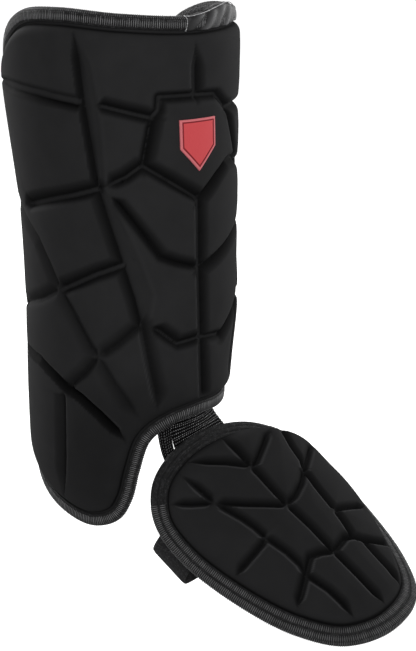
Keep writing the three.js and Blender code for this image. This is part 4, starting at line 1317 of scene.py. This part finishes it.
def tape_overlap():
    """The top tape's folded end, which laps over the near rim and stands up towards the far side."""
    loop, into = SHIN.edge(OVERLAP_CELLS)
    on_top = (loop[:, 1] > OVERLAP_ABOVE) & (loop[:, 0] > OVERLAP_FROM) & (loop[:, 0] < OVERLAP_TO)
    line, into = loop[on_top], into[on_top]
    order = np.argsort(line[:, 0])
    line, into = line[order], into[order]
    share = (line[:, 0] - OVERLAP_FROM) / (OVERLAP_TO - OVERLAP_FROM)
    rise = OVERLAP_RISE * smooth_step(share, 0.0, OVERLAP_PEAK) * (1 - smooth_step(share, OVERLAP_PEAK, 1.0))
    section = [
        (inset, OVERLAP_THICKER * (lift - OVERLAP_MIDDLE) + OVERLAP_MIDDLE)
        for inset, lift in SHIN_TAPE_SECTION[:OVERLAP_SECTION_POINTS]
    ]
    lighter = FOLD_LIGHTER * smooth_step(share, *FOLD_LIGHTER_OVER)
    points, tones = [], []
    for inset, lift in closed_curve(section, TAPE_SECTION_STEPS):
        fold = overlap_fold(line[:, 0], inset)
        # Each fold's tone follows its height: painted shade in the hollows and painted light on the crests.
        tones.append(np.clip(FOLD_TONE + FOLD_SHADE_CONTRAST * fold + lighter, 0, 1))
        raised = rise * np.clip((RAISED_FROM - inset) / RAISED_OVER, 0, 1)
        places = line + (OVERLAP_WIDER * inset - raised)[:, None] * into
        outwards = np.sign(lift - OVERLAP_MIDDLE) * (OVERLAP_CLEARANCE + OVERLAP_FOLD * fold)
        points.append(shin_surface(places, lift + outwards))
    points = np.stack(points, 1)
    rows, round_it = points.shape[:2]
    numbers = np.arange(rows * round_it).reshape(rows, round_it)
    faces = [
        [numbers[k, j], numbers[k, (j + 1) % round_it], numbers[k + 1, (j + 1) % round_it], numbers[k + 1, j]]
        for k in range(rows - 1) for j in range(round_it)
    ]
    faces += [numbers[0, ::-1].tolist(), numbers[-1].tolist()]
    values = {"tone": np.stack(tones, 1).ravel()}
    lap = mesh_piece("shin_binding_lap", points.reshape(-1, 3), faces, [LAP], values=values)
    seam = line - (SEAM_OUT + rise)[:, None] * into
    seam_line = shin_surface(seam, np.full(rows, SEAM_LIFT))
    seam_outs = shin_surface(seam - into, np.full(rows, SEAM_LIFT)) - seam_line
    seam_outs /= np.linalg.norm(seam_outs, axis=1)[:, None]
    turned = OVERLAP_FROM / GIRTH_RADIUS
    end_outs = np.tile((math.sin(turned), -math.cos(turned), 0.0), (OVERLAP_END_POINTS, 1))
    return lap, [seam_line, points[0, :OVERLAP_END_POINTS]], [seam_outs, end_outs]


shin_lap, seam_lines, seam_outs = tape_overlap()
place(shin_lap, "binding_tape")
lap_seam = rib_rows(
    "shin_binding_seam", seam_lines, seam_outs, closed=False, sizes=SEAM_STITCH, seed=9, finish=THREAD,
)
place(lap_seam, "binding_tape")


# The lining

def lining_sheet():
    """A thin knit sheet inside the shin pad, with soft wrinkles on its inner face."""
    wide, tall = LINING_CELLS
    edge_loop, into = SHIN.edge(LINING_CELLS)
    loop = edge_loop + LINING_INSET * into
    pattern = filled(loop, wide, tall).reshape(-1, 2)
    across, up = pattern[:, 0], pattern[:, 1]
    folds_across = np.sin(across / WRINKLE_ACROSS + DRIFT_ACROSS * np.sin(up / DRIFT_ACROSS_LENGTH))
    folds_up = np.sin(up / WRINKLE_UP + DRIFT_UP * np.sin(across / DRIFT_UP_LENGTH))
    wrinkle = WRINKLE_HEIGHT * folds_across * folds_up
    outer = shin_surface(pattern, np.full(len(pattern), LINING_LIFT))
    inner = shin_surface(pattern, LINING_LIFT - LINING_THICKNESS + wrinkle)
    count = len(pattern)
    quads = grid_faces(wide, tall)
    edge = edge_numbers(wide, tall)
    faces = np.vstack([quads, quads[:, ::-1] + count, loop_faces(edge + count, edge)])
    flat = np.vstack([pattern, pattern])
    uv = flat[faces].reshape(-1, 2)
    steps = np.roll(loop, -1, axis=0)
    cut_area = 0.5 * (loop[:, 0] * steps[:, 1] - loop[:, 1] * steps[:, 0]).sum() * MM * MM
    sheet = mesh_piece("shin_lining_cloth", np.vstack([outer, inner]), faces, [LINING], uv=uv)
    return sheet, loop, cut_area


shin_lining, lining_loop, lining_area = lining_sheet()
place(shin_lining, "lining_knit", "shin_lining")


# Elastics and straps

def band_mesh(name, outer, inner, materials, across, along):
    """A closed band from matching grids of its two faces; across and along give its cloth places."""
    rows, columns = outer.shape[:2]
    quads = grid_faces(columns - 1, rows - 1)
    edge = edge_numbers(columns - 1, rows - 1)
    count = rows * columns
    faces = np.vstack([quads[:, ::-1], quads + count, loop_faces(edge, edge + count)])
    flat = np.stack(np.broadcast_arrays(across, along), -1).reshape(-1, 2)
    uv = np.vstack([flat, flat])[faces].reshape(-1, 2)
    points = np.vstack([outer.reshape(-1, 3), inner.reshape(-1, 3)])
    return mesh_piece(name, points, faces, materials, uv=uv)


def elastic_faces(stations, columns, steps):
    """The outer and inner face of an elastic as grids of points, rows along it."""
    shares = np.linspace(0, 1, columns)
    rows = {0.0: [], ELASTIC_THICKNESS: []}
    for depth, found in rows.items():
        for shell, left, right in stations:
            at = np.array(left) + shares[:, None] * (np.array(right) - np.array(left))
            if shell == "shin":
                found.append(shin_surface(at, np.full(columns, SHIN_UNDER - depth)))
            else:
                found.append(foot_surface(at, np.full(columns, FOOT_UNDER - depth)))
    faces = []
    for found in rows.values():
        stacked = np.array(found)
        lines = [open_curve(stacked[:, k], steps) for k in range(columns)]
        faces.append(np.stack(lines, 1))
    return faces


def elastic_band(name, stations, columns, steps):
    outer, inner = elastic_faces(stations, columns, steps)
    across = lengths_along(outer[len(outer) // 2])[None, :]
    along = lengths_along(outer[:, columns // 2])[:, None]
    return band_mesh(name, outer, inner, [ELASTIC], across, along), outer


def face_directions(grid):
    """Unit outward directions of an elastic's outer face."""
    out = np.cross(np.gradient(grid, axis=0), np.gradient(grid, axis=1))
    return out / np.linalg.norm(out, axis=-1)[..., None]


def lines_on(grid, shares, axis):
    """Guide lines on an elastic's face at shares of its length (axis 0) or width (axis 1), and their outs."""
    numbers = np.round(np.asarray(shares) * (grid.shape[axis] - 1)).astype(int)
    outs = face_directions(grid)
    lines = [np.take(grid, number, axis) for number in numbers]
    return lines, [np.take(outs, number, axis) for number in numbers]


instep_elastic, instep_face = elastic_band("instep_elastic_band", INSTEP_ELASTIC, *INSTEP_ELASTIC_GRID)
place(instep_elastic, "ribbed_elastic", "instep_elastic")
side_elastic, side_face = elastic_band("side_elastic_band", SIDE_ELASTIC, *SIDE_ELASTIC_GRID)
place(side_elastic, "ribbed_elastic", "side_elastic")
bead_lines, bead_outs = lines_on(instep_face, BEAD_ROWS, 0)
beads = rib_rows(
    "instep_elastic_beads", bead_lines, bead_outs,
    closed=False, sizes=ELASTIC_BEAD, seed=7, finish=ELASTIC_RIB,
)
place(beads, "ribbed_elastic")
strand_lines, strand_outs = lines_on(side_face, STRANDS, 1)
strands = rib_rows(
    "side_elastic_strands", strand_lines, strand_outs,
    closed=False, sizes=ELASTIC_STRAND, seed=8, finish=SHADED_FOOT_RIB,
)
place(strands, "ribbed_elastic")


def strap_fullness(places):
    """How near a strap is to its full thickness at places across it: 0 at its edges, 1 further in."""
    return smooth_step(np.minimum(places - places[0], places[-1] - places), 0, STRAP_EDGE)


def foot_strap():
    half = FOOT_STRAP_HALF
    route = open_curve(half + [(-side, height) for side, height in half[::-1]], FOOT_STRAP_STEPS)
    along = np.gradient(route, axis=0)
    along /= np.linalg.norm(along, axis=1)[:, None]
    outward = np.stack([along[:, 1], -along[:, 0]], -1)
    places = np.linspace(*FOOT_STRAP_ALONG, FOOT_STRAP_COLUMNS)
    grown = (1 - FOOT_STRAP_EDGE_SHARE) * strap_fullness(places)
    thick = WEBBING_THICKNESS / 2 * (FOOT_STRAP_EDGE_SHARE + grown)
    grids = []
    for sign in (1, -1):
        line = route[:, None] + sign * outward[:, None] * thick[None, :, None]
        grid = np.concatenate([np.broadcast_to(places[None, :, None], (*line.shape[:2], 1)), line], -1)
        grids.append(from_foot(grid))
    return band_mesh(
        "foot_strap_webbing", grids[0], grids[1], [WEBBING], places[None, :], lengths_along(route)[:, None],
    )


place(foot_strap(), "strap_webbing", "foot_strap")


def calf_strap(name, up):
    across = np.linspace(*CALF_STRAP_ACROSS, CALF_STRAP_STEPS)
    ups = np.linspace(up - CALF_STRAP_WIDTH / 2, up + CALF_STRAP_WIDTH / 2, CALF_STRAP_COLUMNS)
    pattern = np.stack(np.meshgrid(across, ups, indexing="ij"), -1)
    thinned = (1 - CALF_STRAP_EDGE_SHARE) / 2 * WEBBING_THICKNESS * (1 - strap_fullness(ups))
    outer = shin_surface(pattern, SHIN_UNDER - thinned[None, :])
    inner = shin_surface(pattern, SHIN_UNDER - WEBBING_THICKNESS + thinned[None, :])
    return band_mesh(name, outer, inner, [WEBBING], ups[None, :], across[:, None])


for node, up in CALF_STRAP_UPS.items():
    place(calf_strap(node + "_webbing", up), "strap_webbing", node)


# The badge

def badge_plate():
    """A five-sided plate on the shield panel, with a raised edge, a sunk line and a flat field."""
    corners = np.array([
        (-BADGE_HALF_WIDTH, BADGE_TOP), (-BADGE_HALF_WIDTH, BADGE_SHOULDER), (0, BADGE_TIP),
        (BADGE_HALF_WIDTH, BADGE_SHOULDER), (BADGE_HALF_WIDTH, BADGE_TOP),
    ], float)
    around = np.vstack([corners, corners[:1]])
    sides = [spaced(around[k:k + 2], BADGE_SIDE_CELLS)[:-1] for k in range(len(corners))]
    loop = np.vstack(sides)
    centre = np.array(BADGE_CENTRE)
    points, rims = [], []
    for inset, height in BADGE_RINGS:
        ring = centre + (loop - centre) * (1 - inset / BADGE_REACH)
        base = SHIN_SHAPE.measure(ring, SHIN_SHAPE.inset_of(ring))[0]
        points.append(shin_surface(ring, base + height))
        rims.append(np.full(len(loop), min(inset / BADGE_RIM_REACH, 1)))
    numbers = np.arange(len(BADGE_RINGS) * len(loop)).reshape(len(BADGE_RINGS), len(loop))
    faces = []
    for outside, inside in zip(numbers[:-1], numbers[1:]):
        faces += loop_faces(outside, inside).tolist()
    faces += [numbers[-1].tolist(), numbers[0, ::-1].tolist()]
    values = {"rim": np.concatenate(rims)}
    return mesh_piece("badge_plate", np.vstack(points), faces, [BADGE], values=values)


place(badge_plate(), "badge_red", "badge")


# Floor, light and camera

AMBIENT = 0.2
FLOOR_SIZE = 40
FLOOR_GAP = 0.001
FLOOR_TONE = (0.55, 0.55, 0.55, 1)
WHITE = (1, 1, 1, 1)
# Softboxes that face the guard: place, size and power
LIGHTS = [
    ("right_light", (1.5, 0.0, 0.35), 0.9, 14),
    ("left_light", (-0.25, 1.49, 0.62), 0.9, 30),
    ("front_light", (-0.6, -1.1, 0.55), 0.8, 9.5),
]
CAMERA_PLACE = Vector((-0.75417, -0.95603, 0.2655))
CAMERA_AIM = Vector((0.03203, 0.01797, -0.0887))
CAMERA_LENS = 99.85
CAMERA_SENSOR = 36
CAMERA_NEAR = 0.05
CAMERA_FAR = 100


def face_towards(obj, position, aim):
    """Sets a light or camera at a position, turned to look at the aim."""
    obj.location = position
    obj.rotation_euler = (aim - position).to_track_quat("-Z", "Y").to_euler()


def studio():
    """A pale floor and backdrop that look white and throw back some of the light."""
    lowest = cad_box[0].z - FLOOR_GAP
    bpy.ops.mesh.primitive_plane_add(size=FLOOR_SIZE, location=(0, 0, lowest))
    floor = bpy.context.object
    floor.name = "studio_floor"
    material, tree, shader = new_finish("pale_floor", roughness=0.9, specular=0.0)
    shader.inputs["Base Color"].default_value = FLOOR_TONE
    shader.inputs["Emission Color"].default_value = WHITE
    seen = add_node(tree, "ShaderNodeLightPath")
    tree.links.new(seen.outputs["Is Camera Ray"], shader.inputs["Emission Strength"])
    floor.data.materials.append(material)
    world = bpy.data.worlds.new("studio")
    world.use_nodes = True
    sky = world.node_tree.nodes["Background"]
    sky.inputs["Color"].default_value = WHITE
    seen = add_node(world.node_tree, "ShaderNodeLightPath")
    strength = math_node(world.node_tree, "MULTIPLY_ADD", seen.outputs["Is Camera Ray"], 1 - AMBIENT, AMBIENT)
    world.node_tree.links.new(strength, sky.inputs["Strength"])
    bpy.context.scene.world = world


def softbox(name, position, size, power):
    lamp = bpy.data.lights.new(name, "AREA")
    lamp.shape = "SQUARE"
    lamp.size = size
    lamp.energy = power
    face_towards(link(bpy.data.objects.new(name, lamp)), Vector(position), Vector((0, 0, 0)))


def photo_camera():
    data = bpy.data.cameras.new("photo_camera")
    data.lens = CAMERA_LENS
    data.sensor_width = CAMERA_SENSOR
    data.clip_start = CAMERA_NEAR
    data.clip_end = CAMERA_FAR
    camera = link(bpy.data.objects.new("photo_camera", data))
    face_towards(camera, CAMERA_PLACE, CAMERA_AIM)
    bpy.context.scene.camera = camera


studio()
for light_name, position, size, power in LIGHTS:
    softbox(light_name, position, size, power)
photo_camera()
bpy.context.scene.view_settings.view_transform = "Standard"
